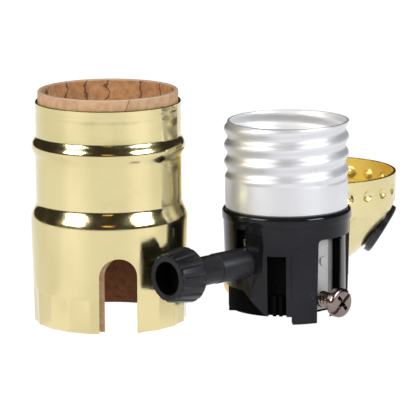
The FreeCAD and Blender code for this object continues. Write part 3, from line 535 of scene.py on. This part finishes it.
def rolled_card():
    """Card: fibres and mottling, a darker cracked inner ply with painted shade low down, pale cut
    edges and painted shade along the lap's edge.
    """
    made = plain("brown_card", OUTER_PLY[0], 0.85)
    tree = made.node_tree
    place = tree.nodes.new("ShaderNodeTexCoord")
    parts = tree.nodes.new("ShaderNodeSeparateXYZ")
    tree.links.new(place.outputs["Object"], parts.inputs[0])
    x, y = (math_node(tree, "SUBTRACT", parts.outputs[index], SHELL[index]) for index in (0, 1))
    height = parts.outputs[2]
    radius = math_node(tree, "SQRT", math_node(
        tree, "ADD", math_node(tree, "MULTIPLY", x, x), math_node(tree, "MULTIPLY", y, y)))
    round_way = math_node(tree, "MULTIPLY", math_node(tree, "ARCTAN2", y, x), LINER_R)
    inside = ranged(tree, radius, *((LINER_R - depth) * MM for depth in INNER_STARTS), 1.0, 0.0)
    mottle = ranged(tree, noise(tree, 700, 6), 0.35, 0.65)
    crack = cracks_of(tree, round_way, height)
    inner = blended(tree, math_node(tree, "MULTIPLY", crack, 0.8),
                    blended(tree, mottle, *INNER_PLY), CRACKED)
    # Painted shade: the inner ply darkens towards the bottom of the tube.
    inner = blended(tree, ranged(tree, height, *DEEP_PAINTED_SHADE_FADES), inner,
                    blended(tree, mottle, *DEEP_PAINTED_SHADE))
    faced = blended(tree, inside, blended(tree, mottle, *OUTER_PLY), inner)
    cut_edge = ranged(tree, height, *((LINER_TOP - down) * MM for down in CUT_STARTS))
    faced = blended(tree, math_node(tree, "MULTIPLY", cut_edge, 0.75), faced, CUT_CARD)
    # Painted shade: a thin dark line along the edge of the lap.
    lap_shade_mask = math_node(tree, "MULTIPLY", lap_edge(tree, round_way, height),
                     math_node(tree, "SUBTRACT", 1.0, inside))
    faced = blended(tree, math_node(tree, "MULTIPLY", lap_shade_mask, 0.7), faced, LAP_SHADE)
    tree.links.new(faced, tree.nodes["Principled BSDF"].inputs["Base Color"])
    sunk = math_node(tree, "MULTIPLY", math_node(tree, "MULTIPLY", crack, inside), CRACK_DEEP)
    raised(tree, math_node(tree, "ADD", noise(tree, 1400, 6), sunk), FIBRE_HIGH)
    return made


finished(shell_liner, rolled_card())
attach(shell_liner, "root")
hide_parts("shell_liner")

# ---- Cap ----
# Deeper drawn brass with a dimpled band that grips the shell, a domed flank with a flat seat for
# the side outlet, and a hole for the pipe hub. It lies mouth up behind the interior.
CAP_SHEET = 0.50
CAP_TALL, CAP_RIM_R = 24.35, 17.66
CAP_BAND_LOW, CAP_BAND_R, CAP_STEP = 16.3, 17.46, 0.22
HUB_UNDER_CAP, HUB_R, HUB_LIP = 4.6, 7.0, 1.0
CAP_FLARE, CAP_EDGE, FLANK_BULGE, FLANK_ROWS, BAND_ROWS = 0.2, 0.1, 0.75, 26, 36
DIMPLES, DIMPLE_R, DIMPLE_DEEP, DIMPLE_DOWN, DIMPLE_TURNED = 22, 1.15, 0.55, 3.4, -52.5
OUTLET_TURNED, OUTLET_DROOP, OUTLET_OUT, OUTLET_UP = -7.0, 32.0, 14.75, 10.75
OUTLET_FLANGE, OUTLET_SEAT_R, OUTLET_NECK_R = 1.4, 6.6, 5.15
outlet = (Matrix.Rotation(math.radians(OUTLET_TURNED), 4, "Z")
          @ Matrix.Translation((OUTLET_OUT, 0, OUTLET_UP))
          @ Matrix.Rotation(math.radians(90 + OUTLET_DROOP), 4, "Y"))
outlet_back = outlet.inverted()


def pressed(turn, radius, height, depth):
    """Presses the dimples into the band and the outlet's flat seat into the flank."""
    pitch = 360 / DIMPLES
    across = (math.degrees(turn) - DIMPLE_TURNED + pitch / 2) % pitch - pitch / 2
    near = math.hypot(math.radians(across) * radius, height - CAP_TALL + DIMPLE_DOWN) / DIMPLE_R
    if near < 1.25 and radius > CAP_BAND_R - 1:
        radius -= DIMPLE_DEEP * (1 - ease((near - 0.35) / 0.9))
    point = outlet_back @ Vector((radius * math.cos(turn), radius * math.sin(turn), height))
    seat = -OUTLET_FLANGE - depth
    away = math.hypot(point.x, point.y)
    if point.z > seat and away < OUTLET_SEAT_R + 2:
        point.z += (seat - point.z) * (1 - ease((away - OUTLET_SEAT_R) / 2))
        point = outlet @ point
        return math.atan2(point.y, point.x), math.hypot(point.x, point.y), point.z
    return turn, radius, height


def flank_line():
    """Domed flank from the hub's seat up to the step of the band."""
    foot = Vector((HUB_R - HUB_LIP, HUB_UNDER_CAP))
    start = Vector((HUB_R + 0.3, HUB_UNDER_CAP))
    end = Vector((CAP_BAND_R - CAP_STEP, CAP_BAND_LOW - CAP_STEP))
    out = Vector((end.y - start.y, start.x - end.x)).normalized() * FLANK_BULGE * 4
    line = [tuple(foot), tuple(start)]
    for row in range(1, FLANK_ROWS + 1):
        share = row / FLANK_ROWS
        line.append(tuple(start.lerp(end, share) + out * share * (1 - share)))
    return line


def cap_inside(centre, normal):
    """Faces of the cap's inner side, in millimetres, apart from the edge of its mouth."""
    inward = normal.x * centre.x + normal.y * centre.y
    return centre.z < CAP_TALL - 0.2 and (inward < -3 or normal.z > 0.3)


band_start = CAP_BAND_LOW + 0.25
band_tall = CAP_TALL - CAP_EDGE - band_start
cap_line = flank_line() + [(CAP_BAND_R - 0.02, CAP_BAND_LOW), (CAP_BAND_R, band_start)]
cap_line += [(CAP_BAND_R + CAP_FLARE * row / BAND_ROWS, band_start + band_tall * row / BAND_ROWS)
             for row in range(1, BAND_ROWS + 1)]
cap_line += [(CAP_RIM_R - 0.08, CAP_TALL)]
cap_shell = revolved("dimpled_cap", thin_wall(cap_line, CAP_SHEET), DIMPLES * 16, pressed)
hole = revolved("hole_tool", [(0, -12), (OUTLET_NECK_R, -12), (OUTLET_NECK_R, 2), (0, 2)], 64)
hole.data.transform(outlet)
cap_shell = worked(cap_shell, [hole])
cap_brass = sheet_metal("cap_brass", (0.74, 0.65, 0.36), (0.69, 0.60, 0.32), 0.20, 0.30)
raw_brass = sheet_metal("raw_brass", (0.95, 0.76, 0.24), (0.86, 0.66, 0.18), 0.38, 0.50,
                        metallic=0.85)
finished(cap_shell, cap_brass, raw_brass, cap_inside)
stand(cap_shell, CAP)
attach(cap_shell, "root")
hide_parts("cap_shell")

# ---- Pipe hub and its set screw ----
# Ring at the foot of the cap, which takes the lamp's pipe, and the small screw that grips the pipe.
# The ring is turned from brass and spun into the cap; the screw is dark steel.
def dressed(node, material):
    """Gives a carried-over solid its finish."""
    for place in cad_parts[node].material_slots:
        place.link = "OBJECT"
        place.material = material


turned_brass = sheet_metal("turned_brass", (0.78, 0.58, 0.27), (0.68, 0.48, 0.20), 0.22, 0.36,
                           lines=0.00001, upright=0.0)
dark_steel = sheet_metal("dark_steel", (0.30, 0.29, 0.28), (0.20, 0.19, 0.185), 0.28, 0.42)
dressed("cap_hub", turned_brass)
dressed("hub_set_screw", dark_steel)

# ---- Side outlet bushing ----
# Ring that guards a cord where it would leave through the flank of the cap. It is moulded in black
# plastic and snapped through its hole from outside.
DUST = (0.16, 0.16, 0.165)
moulded_skin, takes, gives = effect(
    "moulded_skin", {"Grain": 2600.0, "Specks": 1500.0, "Rare": 0.72}, ("Height", "Dust"))
moulded_skin.links.new(noise(moulded_skin, takes["Grain"], 3), gives["Height"])
specks = ranged(moulded_skin, noise(moulded_skin, takes["Specks"], 1), takes["Rare"], 0.80)
moulded_skin.links.new(specks, gives["Dust"])


def moulding(name, colour, worn, polished, dulled, grain, dust=0.25, **values):
    """Moulded plastic: faint clouding, a fine skin, handling marks in its gloss, a little dust."""
    made = plain(name, colour, polished, **values)
    tree = made.node_tree
    shader = tree.nodes["Principled BSDF"]
    touched = effect_in(tree, handling, Clouding=90.0, Smears=180.0,
                        Polished=polished, Dulled=dulled)
    skin = effect_in(tree, moulded_skin)
    clouded = blended(tree, touched["Clouds"], colour, worn)
    dusty = blended(tree, math_node(tree, "MULTIPLY", skin["Dust"], dust), clouded, DUST)
    tree.links.new(dusty, shader.inputs["Base Color"])
    tree.links.new(touched["Roughness"], shader.inputs["Roughness"])
    raised(tree, skin["Height"], grain)
    return made


bushing_black = moulding("bushing_black", (0.010, 0.010, 0.012), (0.018, 0.018, 0.020), 0.18, 0.30,
                         0.000004)
dressed("side_outlet_bushing", bushing_black)

# ---- Screw shell ----
# Thin aluminium, rolled into the lamp thread and satin from the rolling. Its lip turns in at the
# foot and is riveted down on the cover; the thread runs out at the top edge.
TIN = 0.35
COVER_TOP = 23.3
THREAD_PITCH, THREAD_CREST_R, THREAD_ROOT_R, THREAD_CREST_UP = 3.629, 13.47, 12.72, 40.56
THREAD_LOW, THREAD_FADE = 29.3, 1.5
SCREW_SHELL_TOP, SCREW_SHELL_R = 42.3, 13.25
LIP_R, LIP_BEND, LIP_BEND_UP, TIN_EDGE = 7.6, 0.3, 0.35, 0.06
WALL_ROWS, WALL_STEP = 114, 0.16


def threaded(turn, radius, height, depth):
    """Rolls the thread into the straight part of the wall."""
    if radius < LIP_R + 3:
        return turn, radius, height
    crest = THREAD_CREST_UP + THREAD_PITCH * (turn / (2 * math.pi) - 0.5)
    share = ease((height - THREAD_LOW) / THREAD_FADE)
    wave = math.cos(2 * math.pi * (height - crest) / THREAD_PITCH)
    middle, swing = (THREAD_CREST_R + THREAD_ROOT_R) / 2, (THREAD_CREST_R - THREAD_ROOT_R) / 2
    return turn, radius + (middle + swing * wave - SCREW_SHELL_R) * share, height


def inner_face(centre, normal):
    """Faces of the standing screw shell that look at its axis."""
    return (centre.x - INTERIOR[0]) * normal.x + (centre.y - INTERIOR[1]) * normal.y < 0


wall_start = COVER_TOP + 2 * LIP_BEND_UP
tin_line = [(SCREW_SHELL_R - LIP_BEND, COVER_TOP), (SCREW_SHELL_R, COVER_TOP + LIP_BEND_UP)]
tin_line += [(SCREW_SHELL_R, wall_start + WALL_STEP * row) for row in range(WALL_ROWS)]
tin_line += [(SCREW_SHELL_R, SCREW_SHELL_TOP - TIN_EDGE), (SCREW_SHELL_R - 0.08, SCREW_SHELL_TOP)]
tin_outline = [(radius, height, 0) for radius, height in tin_line]
tin_outline += [(radius - TIN, height, TIN) for radius, height in reversed(tin_line[2:])]
tin_outline += [(SCREW_SHELL_R - TIN - LIP_BEND, COVER_TOP + TIN, TIN),
                (LIP_R, COVER_TOP + TIN, TIN), (LIP_R, COVER_TOP, 0)]
screw_shell = stand(revolved("rolled_screw_shell", tin_outline, 256, threaded), INTERIOR)
aluminium = sheet_metal("satin_aluminium", (0.70, 0.705, 0.725), (0.64, 0.645, 0.665), 0.40, 0.50,
                        scuffed=(0.40, 0.33, 0.26), least=0.68, metallic=0.60)
# Painted light: the faces that look at the axis get a brighter, less metallic copy of the aluminium,
# where the inside of the shell falls in shade.
painted_lit_aluminium = sheet_metal("painted_lit_aluminium", (0.88, 0.88, 0.89), (0.82, 0.82, 0.83), 0.42, 0.52,
                              scuffed=(0.60, 0.55, 0.50), least=0.75, metallic=0.35)
finished(screw_shell, aluminium, painted_lit_aluminium, inner_face)
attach(screw_shell, "root")
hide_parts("screw_shell")

# ---- Rivets of the screw shell ----
# Two small rivets of the same soft aluminium, which hold the lip down on the cover. One of them
# carries the current on to the neutral plate.
for rivet in ("screw_shell_rivet_1", "screw_shell_rivet_2"):
    dressed(rivet, aluminium)

# ---- Knob and stem ----
# What the hand turns, and the stem that drives the switch: one moulding in satin black plastic.
# A scalloped drum with a deep round recess in its face, on a plain stem that runs to the rotor.
STEM_UP, STEM_R, STEM_IN = 12.8, 3.25, 12.4
JOURNAL_R, DRIVE_R, DRIVE_END, ROTOR_FRONT = 2.5, 1.7, -5.2, 3.9
KNOB_FACE, KNOB_DRUM, KNOB_FRONT_R, KNOB_REAR_R = 35.7, 6.0, 5.15, 5.95
KNOB_RECESS_R, KNOB_RECESS_DEEP, COLLAR_END = 3.55, 4.6, 21.8
STEM_THIN, FLARE_LOW, FLARE_HIGH, DRUM_BACK_R, DRUM_EDGE_R = 0.14, 28.0, 28.4, 5.6, 5.85
SOCKET_FIT, BORE_FIT = 0.08, 0.05
KNOB_TURNED = -136.2
KNOB_SCALLOPS, KNOB_SCALLOP_DEEP = 16, 0.32
COOL_SHEEN = (0.86, 0.88, 1.0, 1.0)


def scalloped(turn, radius, height, depth):
    """Presses finger grooves into the side of the drum."""
    phase = (turn * KNOB_SCALLOPS / (2 * math.pi)) % 1 - 0.5
    return turn, radius - KNOB_SCALLOP_DEEP * depth * max(0, math.cos(phase * 2 * math.pi)), height


drum_low = KNOB_FACE - KNOB_DRUM
recess_low = KNOB_FACE - KNOB_RECESS_DEEP
knob_outline = [
    (0, DRIVE_END), (DRIVE_R, DRIVE_END), (DRIVE_R, ROTOR_FRONT), (JOURNAL_R, ROTOR_FRONT),
    (JOURNAL_R, STEM_IN + SOCKET_FIT), (STEM_R, STEM_IN + SOCKET_FIT), (STEM_R, COLLAR_END - 0.1),
    (STEM_R - 0.05, COLLAR_END), (STEM_R - STEM_THIN, COLLAR_END + 0.05),
    (STEM_R - STEM_THIN, FLARE_LOW), (STEM_R + 0.2, FLARE_HIGH), (DRUM_BACK_R, drum_low - 0.3),
    (DRUM_EDGE_R, drum_low, 0.4), (KNOB_REAR_R, drum_low + 0.5, 1),
    (KNOB_FRONT_R + 0.05, KNOB_FACE - 0.7, 1), (KNOB_FRONT_R, KNOB_FACE - 0.42, 0.8),
    (KNOB_FRONT_R - 0.17, KNOB_FACE - 0.2, 0.4), (KNOB_FRONT_R - 0.4, KNOB_FACE, 0),
    (KNOB_RECESS_R + 0.25, KNOB_FACE), (KNOB_RECESS_R + 0.06, KNOB_FACE - 0.07),
    (KNOB_RECESS_R, KNOB_FACE - 0.25), (KNOB_RECESS_R, recess_low + 0.2),
    (KNOB_RECESS_R - 0.2, recess_low), (0, recess_low)]
knob = revolved("knob_and_stem", knob_outline, 192, scalloped)


def knob_recess(centre, normal):
    """Faces of the deep recess in the knob's front."""
    return centre.z < KNOB_FACE - 0.2 and math.hypot(centre.x, centre.y) < KNOB_RECESS_R and (
        centre.z > recess_low - 0.1)


knob_plastic = moulding("satin_black", (0.010, 0.010, 0.011), (0.016, 0.016, 0.017), 0.34, 0.46,
                        0.000006, IOR=1.31, Specular_Tint=COOL_SHEEN)
# Painted shade: a darker, duller black given to faces in recesses and pockets, where shade falls.
painted_shade_black = moulding("painted_shade_moulding", (0.0015, 0.0015, 0.0015), (0.003, 0.003, 0.003),
                     0.60, 0.80, 0.000004, dust=0.05, IOR=1.10)
# The deep recess of the knob takes the painted shade black.
finished(knob, knob_plastic, painted_shade_black, knob_recess)
knob.data.transform(Matrix.Translation((0, 0, STEM_UP)) @ Matrix.Rotation(math.radians(90), 4, "Y"))
stand(knob, INTERIOR, KNOB_TURNED)
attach(knob, "knob_and_rotor")
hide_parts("knob")

# ---- Switch body ----
# Glossy black phenolic moulding that carries everything: a groove and a bore for the stem, a
# window, a terminal recess each side closed at the top by a collar, and four short feet.
BODY_LOW, BODY_TALL, BODY_FOOT_R, BODY_TOP_R = 1.6, 21.0, 13.15, 13.70
RECESS_HALF, RECESS_FLOOR, RECESS_TOP, RECESS_CORNER = 3.55, 10.1, 18.1, 0.9
CHAMBER, FOOT_IN, FOOT_EDGE = ((-7.0, 5.0), (-5.2, 5.2), (4.5, 22)), 0.4, 0.3
STEM_GROOVE = dict(turned=-1.0, half=1.35, low=STEM_UP, high=20.0, floor=BODY_TOP_R - 1.6)
PANEL = dict(turned=13.5, half=1.9, low=6.8, high=19.3, floor=BODY_TOP_R - 0.45)
WINDOW = dict(turned=35.4, half=2.05, low=-1.0, high=14.9, floor=BODY_FOOT_R - 2.05)
WINDOW_RIB, WINDOW_RIB_TOP, WINDOW_RIB_SHY, WINDOW_RIB_ROOT = 0.7, 6.0, 0.9, 0.3
PAD_LOW, PAD_DEEP, PAD_SLOPE_RUN, PAD_END = 6.8, 0.5, 5.6, -16
CHEEK_SPREAD, CHEEK_DEEP = 34.0, 0.35
FEET_SPREAD, FOOT_PROUD = 24.0, 1.0
SEAM = dict(turned=49.0, half=0.09, low=6.0, high=15.0, floor=BODY_FOOT_R - 0.05)
BROKEN_EDGE, NEAR = 0.16, 0.1
WALL_OUT, UNDER, SECTOR_STEPS = 20, -1, 12
# These stand a flat outline upright: its depth then runs along y, or along x.
ON_EDGE = Matrix(((1, 0, 0, 0), (0, 0, 1, 0), (0, 1, 0, 0), (0, 0, 0, 1)))
ON_SIDE = Matrix(((0, 0, 1, 0), (1, 0, 0, 0), (0, 1, 0, 0), (0, 0, 0, 1)))


def slab(x, y, z, turned=0.0):
    """Block between three pairs of sides, turned about the interior's axis."""
    block = prism("slab", [(x[0], y[0]), (x[1], y[0]), (x[1], y[1]), (x[0], y[1])], *z)
    block.data.transform(Matrix.Rotation(math.radians(turned), 4, "Z"))
    return block


def sector(inner, outer, start, spread, low, high):
    """Part of a ring, between two angles and two heights."""
    turns = [math.radians(start + spread * step / SECTOR_STEPS) for step in range(SECTOR_STEPS + 1)]
    line = [(outer * math.cos(turn), outer * math.sin(turn)) for turn in turns]
    line += [(inner * math.cos(turn), inner * math.sin(turn)) for turn in reversed(turns)]
    return prism("sector", line, low, high)


def bar(radius, start, end, up):
    """Round tool that lies along the stem's way, at a height, between two distances."""
    tool = revolved("bar", [(0, start), (radius, start), (radius, end), (0, end)], 48)
    tool.data.transform(Matrix.Translation((0, 0, up)) @ Matrix.Rotation(math.radians(90), 4, "Y"))
    return tool


def wall_pocket(turned, half, low, high, floor):
    """Tool of an upright pocket in the wall of the body."""
    return slab((floor, WALL_OUT), (-half, half), (low, high), turned)


def recess_tool(turned):
    """Tool of a terminal recess: open outward and down, with rounded top corners."""
    corner = RECESS_CORNER
    line = [(RECESS_HALF, UNDER)]
    for side, first in ((1, 0), (-1, 90)):
        centre = (side * (RECESS_HALF - corner), RECESS_TOP - corner)
        line += [(centre[0] + corner * math.cos(turn), centre[1] + corner * math.sin(turn))
                 for turn in (math.radians(first + 15 * step) for step in range(7))]
    line += [(-RECESS_HALF, UNDER)]
    tool = prism("recess", line, RECESS_FLOOR, WALL_OUT)
    tool.data.transform(ON_EDGE)
    tool.data.flip_normals()
    tool.data.transform(Matrix.Rotation(math.radians(turned), 4, "Z"))
    return tool


def under_pad():
    """Tool of the step under the pad that backs the stem, which slopes down beyond it."""
    line = [(PAD_END, UNDER), (PAD_SLOPE_RUN, UNDER), (PAD_SLOPE_RUN, BODY_LOW), (0, PAD_LOW),
            (PAD_END, PAD_LOW)]
    side = prism("under_pad", line, 0, WALL_OUT)
    side.data.transform(ON_SIDE)
    core_r = BODY_FOOT_R - PAD_DEEP
    core = revolved("pad_core", [(0, -2), (core_r, -2), (core_r, 9), (0, 9)], 128)
    return worked(side, [core])


def in_painted_shade(centre, normal):
    """Faces inside the pockets, the recesses and the chamber, below the pad and underneath, which
    get the painted shade black.
    """
    for pocket in (STEM_GROOVE, WINDOW):
        point = Matrix.Rotation(math.radians(-pocket["turned"]), 3, "Z") @ centre
        across = abs(point.y) < pocket["half"] + 0.02
        upright = pocket["low"] - NEAR < centre.z < pocket["high"] + NEAR
        if across and upright and pocket["floor"] - 0.4 < point.x < BODY_FOOT_R - NEAR:
            return True
    reach = math.hypot(centre.x, centre.y)
    on_pad_core = abs(reach - BODY_FOOT_R + PAD_DEEP) < 0.08
    if on_pad_core and centre.x > 0 and centre.y < PAD_SLOPE_RUN and centre.z < PAD_LOW:
        return True
    across = abs(centre.x) < RECESS_HALF + 0.05
    if across and abs(normal.x) > 0.6 and abs(centre.y) > RECESS_FLOOR and centre.z < RECESS_TOP:
        return True
    in_recess = across and abs(centre.y) > RECESS_FLOOR - NEAR and centre.z < RECESS_TOP + NEAR
    return reach < BODY_FOOT_R - FOOT_EDGE and (
        in_recess or centre.z < BODY_LOW + NEAR or normal.z > 0.5)


wall_angle = math.degrees(math.asin(RECESS_HALF / BODY_FOOT_R))
switch_body = revolved("switch_body_moulding", [
    (0, BODY_LOW), (BODY_FOOT_R - FOOT_EDGE, BODY_LOW), (BODY_FOOT_R, BODY_LOW + FOOT_EDGE),
    (BODY_TOP_R, BODY_TALL - 1), (BODY_TOP_R, BODY_TALL), (0, BODY_TALL)], 144)
feet = [sector(RECESS_FLOOR + FOOT_IN, BODY_FOOT_R, side + way, FEET_SPREAD, 0,
               BODY_LOW + FOOT_PROUD)
        for side in (90, 270) for way in (wall_angle, -wall_angle - FEET_SPREAD)]
worked(switch_body, feet, "UNION")
body_tools = [slab(*CHAMBER), bar(JOURNAL_R + BORE_FIT, 4, 16, STEM_UP),
              bar(STEM_R + SOCKET_FIT, STEM_IN, WALL_OUT, STEM_UP)]
body_tools += [recess_tool(0), recess_tool(180), under_pad()]
body_tools += [wall_pocket(**pocket) for pocket in (STEM_GROOVE, PANEL, WINDOW, SEAM)]
body_tools += [sector(BODY_FOOT_R - CHEEK_DEEP, WALL_OUT, side + wall_angle - 0.5, CHEEK_SPREAD,
                      UNDER, RECESS_TOP) for side in (90, 270)]
worked(switch_body, body_tools)
ribs = [slab((WINDOW["floor"] - WINDOW_RIB_ROOT, BODY_FOOT_R - WINDOW_RIB_SHY),
             (off_middle - WINDOW_RIB / 2, off_middle + WINDOW_RIB / 2),
             (BODY_LOW, WINDOW_RIB_TOP), WINDOW["turned"])
        for off_middle in (-WINDOW["half"] / 3, WINDOW["half"] / 3)]
worked(switch_body, ribs, "UNION", bevel=BROKEN_EDGE)
gloss_black = moulding("gloss_black", (0.0045, 0.0045, 0.0055), (0.009, 0.009, 0.010), 0.08, 0.16,
                       0.000002, dust=0.12, IOR=1.32, Specular_Tint=COOL_SHEEN)
# Painted shade: pockets, recesses, chamber, the step under the pad and the underside take the
# darker, duller black.
finished(switch_body, gloss_black, painted_shade_black, in_painted_shade)
stand(switch_body, INTERIOR, KNOB_TURNED)
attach(switch_body, "root")
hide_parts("switch_body")

# ---- Contact in the groove ----
# End of a spring contact that shows in the groove just above the stem: tinned strip, bent a
# little outward in the middle, with a small hole, and set on the groove's floor.
CONTACT_HALF, CONTACT_THICK, CONTACT_CROWN, CONTACT_RISE = 0.8, 0.3, 0.15, 1.7
CONTACT_HOLE_R, CONTACT_HOLE_SHARE, CONTACT_EDGE = 0.35, 0.6, 0.08
contact_low = STEM_UP + STEM_R + 0.05
contact_back = STEM_GROOVE["floor"] + 0.02
contact_front = STEM_GROOVE["floor"] + CONTACT_THICK
contact_tip = prism("groove_contact", [
    (contact_back, -CONTACT_HALF), (contact_front, -CONTACT_HALF),
    (contact_front + CONTACT_CROWN, 0), (contact_front, CONTACT_HALF),
    (contact_back, CONTACT_HALF)], contact_low, contact_low + CONTACT_RISE)
hole = bar(CONTACT_HOLE_R, 11, 14, contact_low + CONTACT_RISE * CONTACT_HOLE_SHARE)
worked(contact_tip, [hole], bevel=CONTACT_EDGE)
tinned = sheet_metal("tinned_contact", (0.66, 0.655, 0.65), (0.52, 0.515, 0.51), 0.30, 0.45)
finished(contact_tip, tinned)
stand(contact_tip, INTERIOR, KNOB_TURNED)
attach(contact_tip, "root")

# ---- Cover ----
# Disc that closes the switch chamber and keeps the screw shell off it: the same glossy black
# moulding as the body, with a rounded edge and a slot for the centre contact.
COVER_R, CONTACT_SLOT = 14.0, ((-6.95, -6.35), (-2.25, 2.25))
body_cover = revolved("switch_cover", [
    (0, BODY_TALL), (COVER_R - 0.3, BODY_TALL), (COVER_R - 0.08, BODY_TALL + 0.08),
    (COVER_R, BODY_TALL + 0.3), (COVER_R, COVER_TOP - 0.7), (COVER_R - 0.06, COVER_TOP - 0.42),
    (COVER_R - 0.2, COVER_TOP - 0.18), (COVER_R - 0.45, COVER_TOP), (0, COVER_TOP)], 160)
worked(body_cover, [slab(*CONTACT_SLOT, (20, 25))])
finished(body_cover, gloss_black)
stand(body_cover, INTERIOR, KNOB_TURNED)
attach(body_cover, "root")
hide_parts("body_cover")

# ---- Terminal screws ----
# Binding screws, backed out of their plates: a pan head with a slot and a cross, and a cut
# thread. The one in view is dark nickel; the other, on the switched side, is brass.
SCREW_UP, SCREW_R, SCREW_LONG, SCREW_PITCH, SCREW_CUT = 4.45, 1.75, 5.0, 0.79, 0.34
SCREW_POINT, SCREW_POINT_IN = 0.5, 0.45
HEAD_R, HEAD_THICK, HEAD_OUT, HEAD_TURNED = 3.2, 2.0, 16.8, 38.0
DRIVE_WIDE, DRIVE_DEEP, CROSS_HALF, CROSS_DEEP = 0.85, 1.0, 2.0, 1.3
THREAD_POINTS = 60


def screw_cut(turn, radius, height, depth):
    """Cuts the thread into the shank, as deep as the point's depth says."""
    wave = abs(((height / SCREW_PITCH - turn / (2 * math.pi)) % 1) * 2 - 1)
    return turn, radius - SCREW_CUT * depth * (1 - wave ** 1.5), height


def terminal_screw(name, turned):
    """Binding screw, turned about its axis and lying outward through its plate."""
    line = [(0, 0), (HEAD_R - 0.75, 0), (HEAD_R - 0.35, -0.12), (HEAD_R - 0.1, -0.35),
            (HEAD_R, -0.7), (HEAD_R, -HEAD_THICK + 0.3), (HEAD_R - 0.25, -HEAD_THICK),
            (SCREW_R, -HEAD_THICK, 0)]
    thread_start, thread_long = -HEAD_THICK - 0.1, SCREW_LONG - SCREW_POINT - 0.1
    line += [(SCREW_R, thread_start - thread_long * point / THREAD_POINTS, 1)
             for point in range(THREAD_POINTS + 1)]
    line += [(SCREW_R - SCREW_POINT_IN, -HEAD_THICK - SCREW_LONG, 0), (0, -HEAD_THICK - SCREW_LONG)]
    screw = revolved(name, list(reversed(line)), 64, screw_cut)
    slot = slab((-8, 8), (-DRIVE_WIDE / 2, DRIVE_WIDE / 2), (-DRIVE_DEEP, 1))
    cross = slab((-DRIVE_WIDE / 2, DRIVE_WIDE / 2), (-CROSS_HALF, CROSS_HALF), (-CROSS_DEEP, 1))
    worked(screw, [slot, cross])
    screw.data.transform(
        Matrix.Translation((0, HEAD_OUT, SCREW_UP)) @ Matrix.Rotation(math.radians(-90), 4, "X")
        @ Matrix.Rotation(math.radians(HEAD_TURNED), 4, "Z"))
    return stand(screw, INTERIOR, KNOB_TURNED + turned)


neutral_screw = terminal_screw("neutral_binding_screw", 0)
dark_nickel = sheet_metal("dark_nickel", (0.27, 0.215, 0.20), (0.17, 0.135, 0.125), 0.14, 0.28,
                          scuffed=(0.05, 0.04, 0.035), least=0.5)
finished(neutral_screw, dark_nickel)
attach(neutral_screw, "neutral_terminal_screw")
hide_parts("neutral_screw")
switched_screw = terminal_screw("switched_binding_screw", 180)
screw_brass = sheet_metal("screw_brass", (0.80, 0.60, 0.28), (0.70, 0.50, 0.21), 0.18, 0.32)
finished(switched_screw, screw_brass)
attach(switched_screw, "switched_terminal_screw")
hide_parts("switched_screw")

# ---- Terminal plates ----
# Strips that bring the current to the screws, folded and riveted into the body's recesses: a
# bright plated one on the neutral side and a plain brass one on the switched side.
bright_plate = sheet_metal("bright_plate", (0.47, 0.46, 0.455), (0.40, 0.395, 0.39), 0.42, 0.55,
                           scuffed=(0.30, 0.28, 0.26), least=0.58, metallic=0.75)
contact_brass = sheet_metal("contact_brass", (0.78, 0.57, 0.25), (0.68, 0.47, 0.19), 0.26, 0.38)
for plate, metal in (("neutral_plate", bright_plate), ("switched_plate", contact_brass)):
    dressed(plate, metal)
    dressed(plate + "_rivet", metal)

# ---- Centre contact ----
# Folded brass strip that rises from the switch through the cover and presses on the lamp's foot,
# with the rivet that holds it down.
dressed("centre_contact", contact_brass)
dressed("centre_contact_rivet", contact_brass)

# ---- Switch ----
# On the stem's inner end: a reddish phenolic rotor with a brass contact, held by a steel clip. A
# flat spring makes it snap from one flat to the next, and a brass blade feeds it.
rotor_red = moulding("rotor_moulding", (0.22, 0.045, 0.025), (0.30, 0.07, 0.04), 0.32, 0.45,
                     0.000006)
spring_steel = sheet_metal("spring_steel", (0.55, 0.55, 0.56), (0.45, 0.45, 0.47), 0.26, 0.38)
for node, material in (("switch_rotor", rotor_red), ("rotor_contact", contact_brass),
                       ("stem_clip", spring_steel), ("detent_spring", spring_steel),
                       ("feed_blade", contact_brass)):
    dressed(node, material)
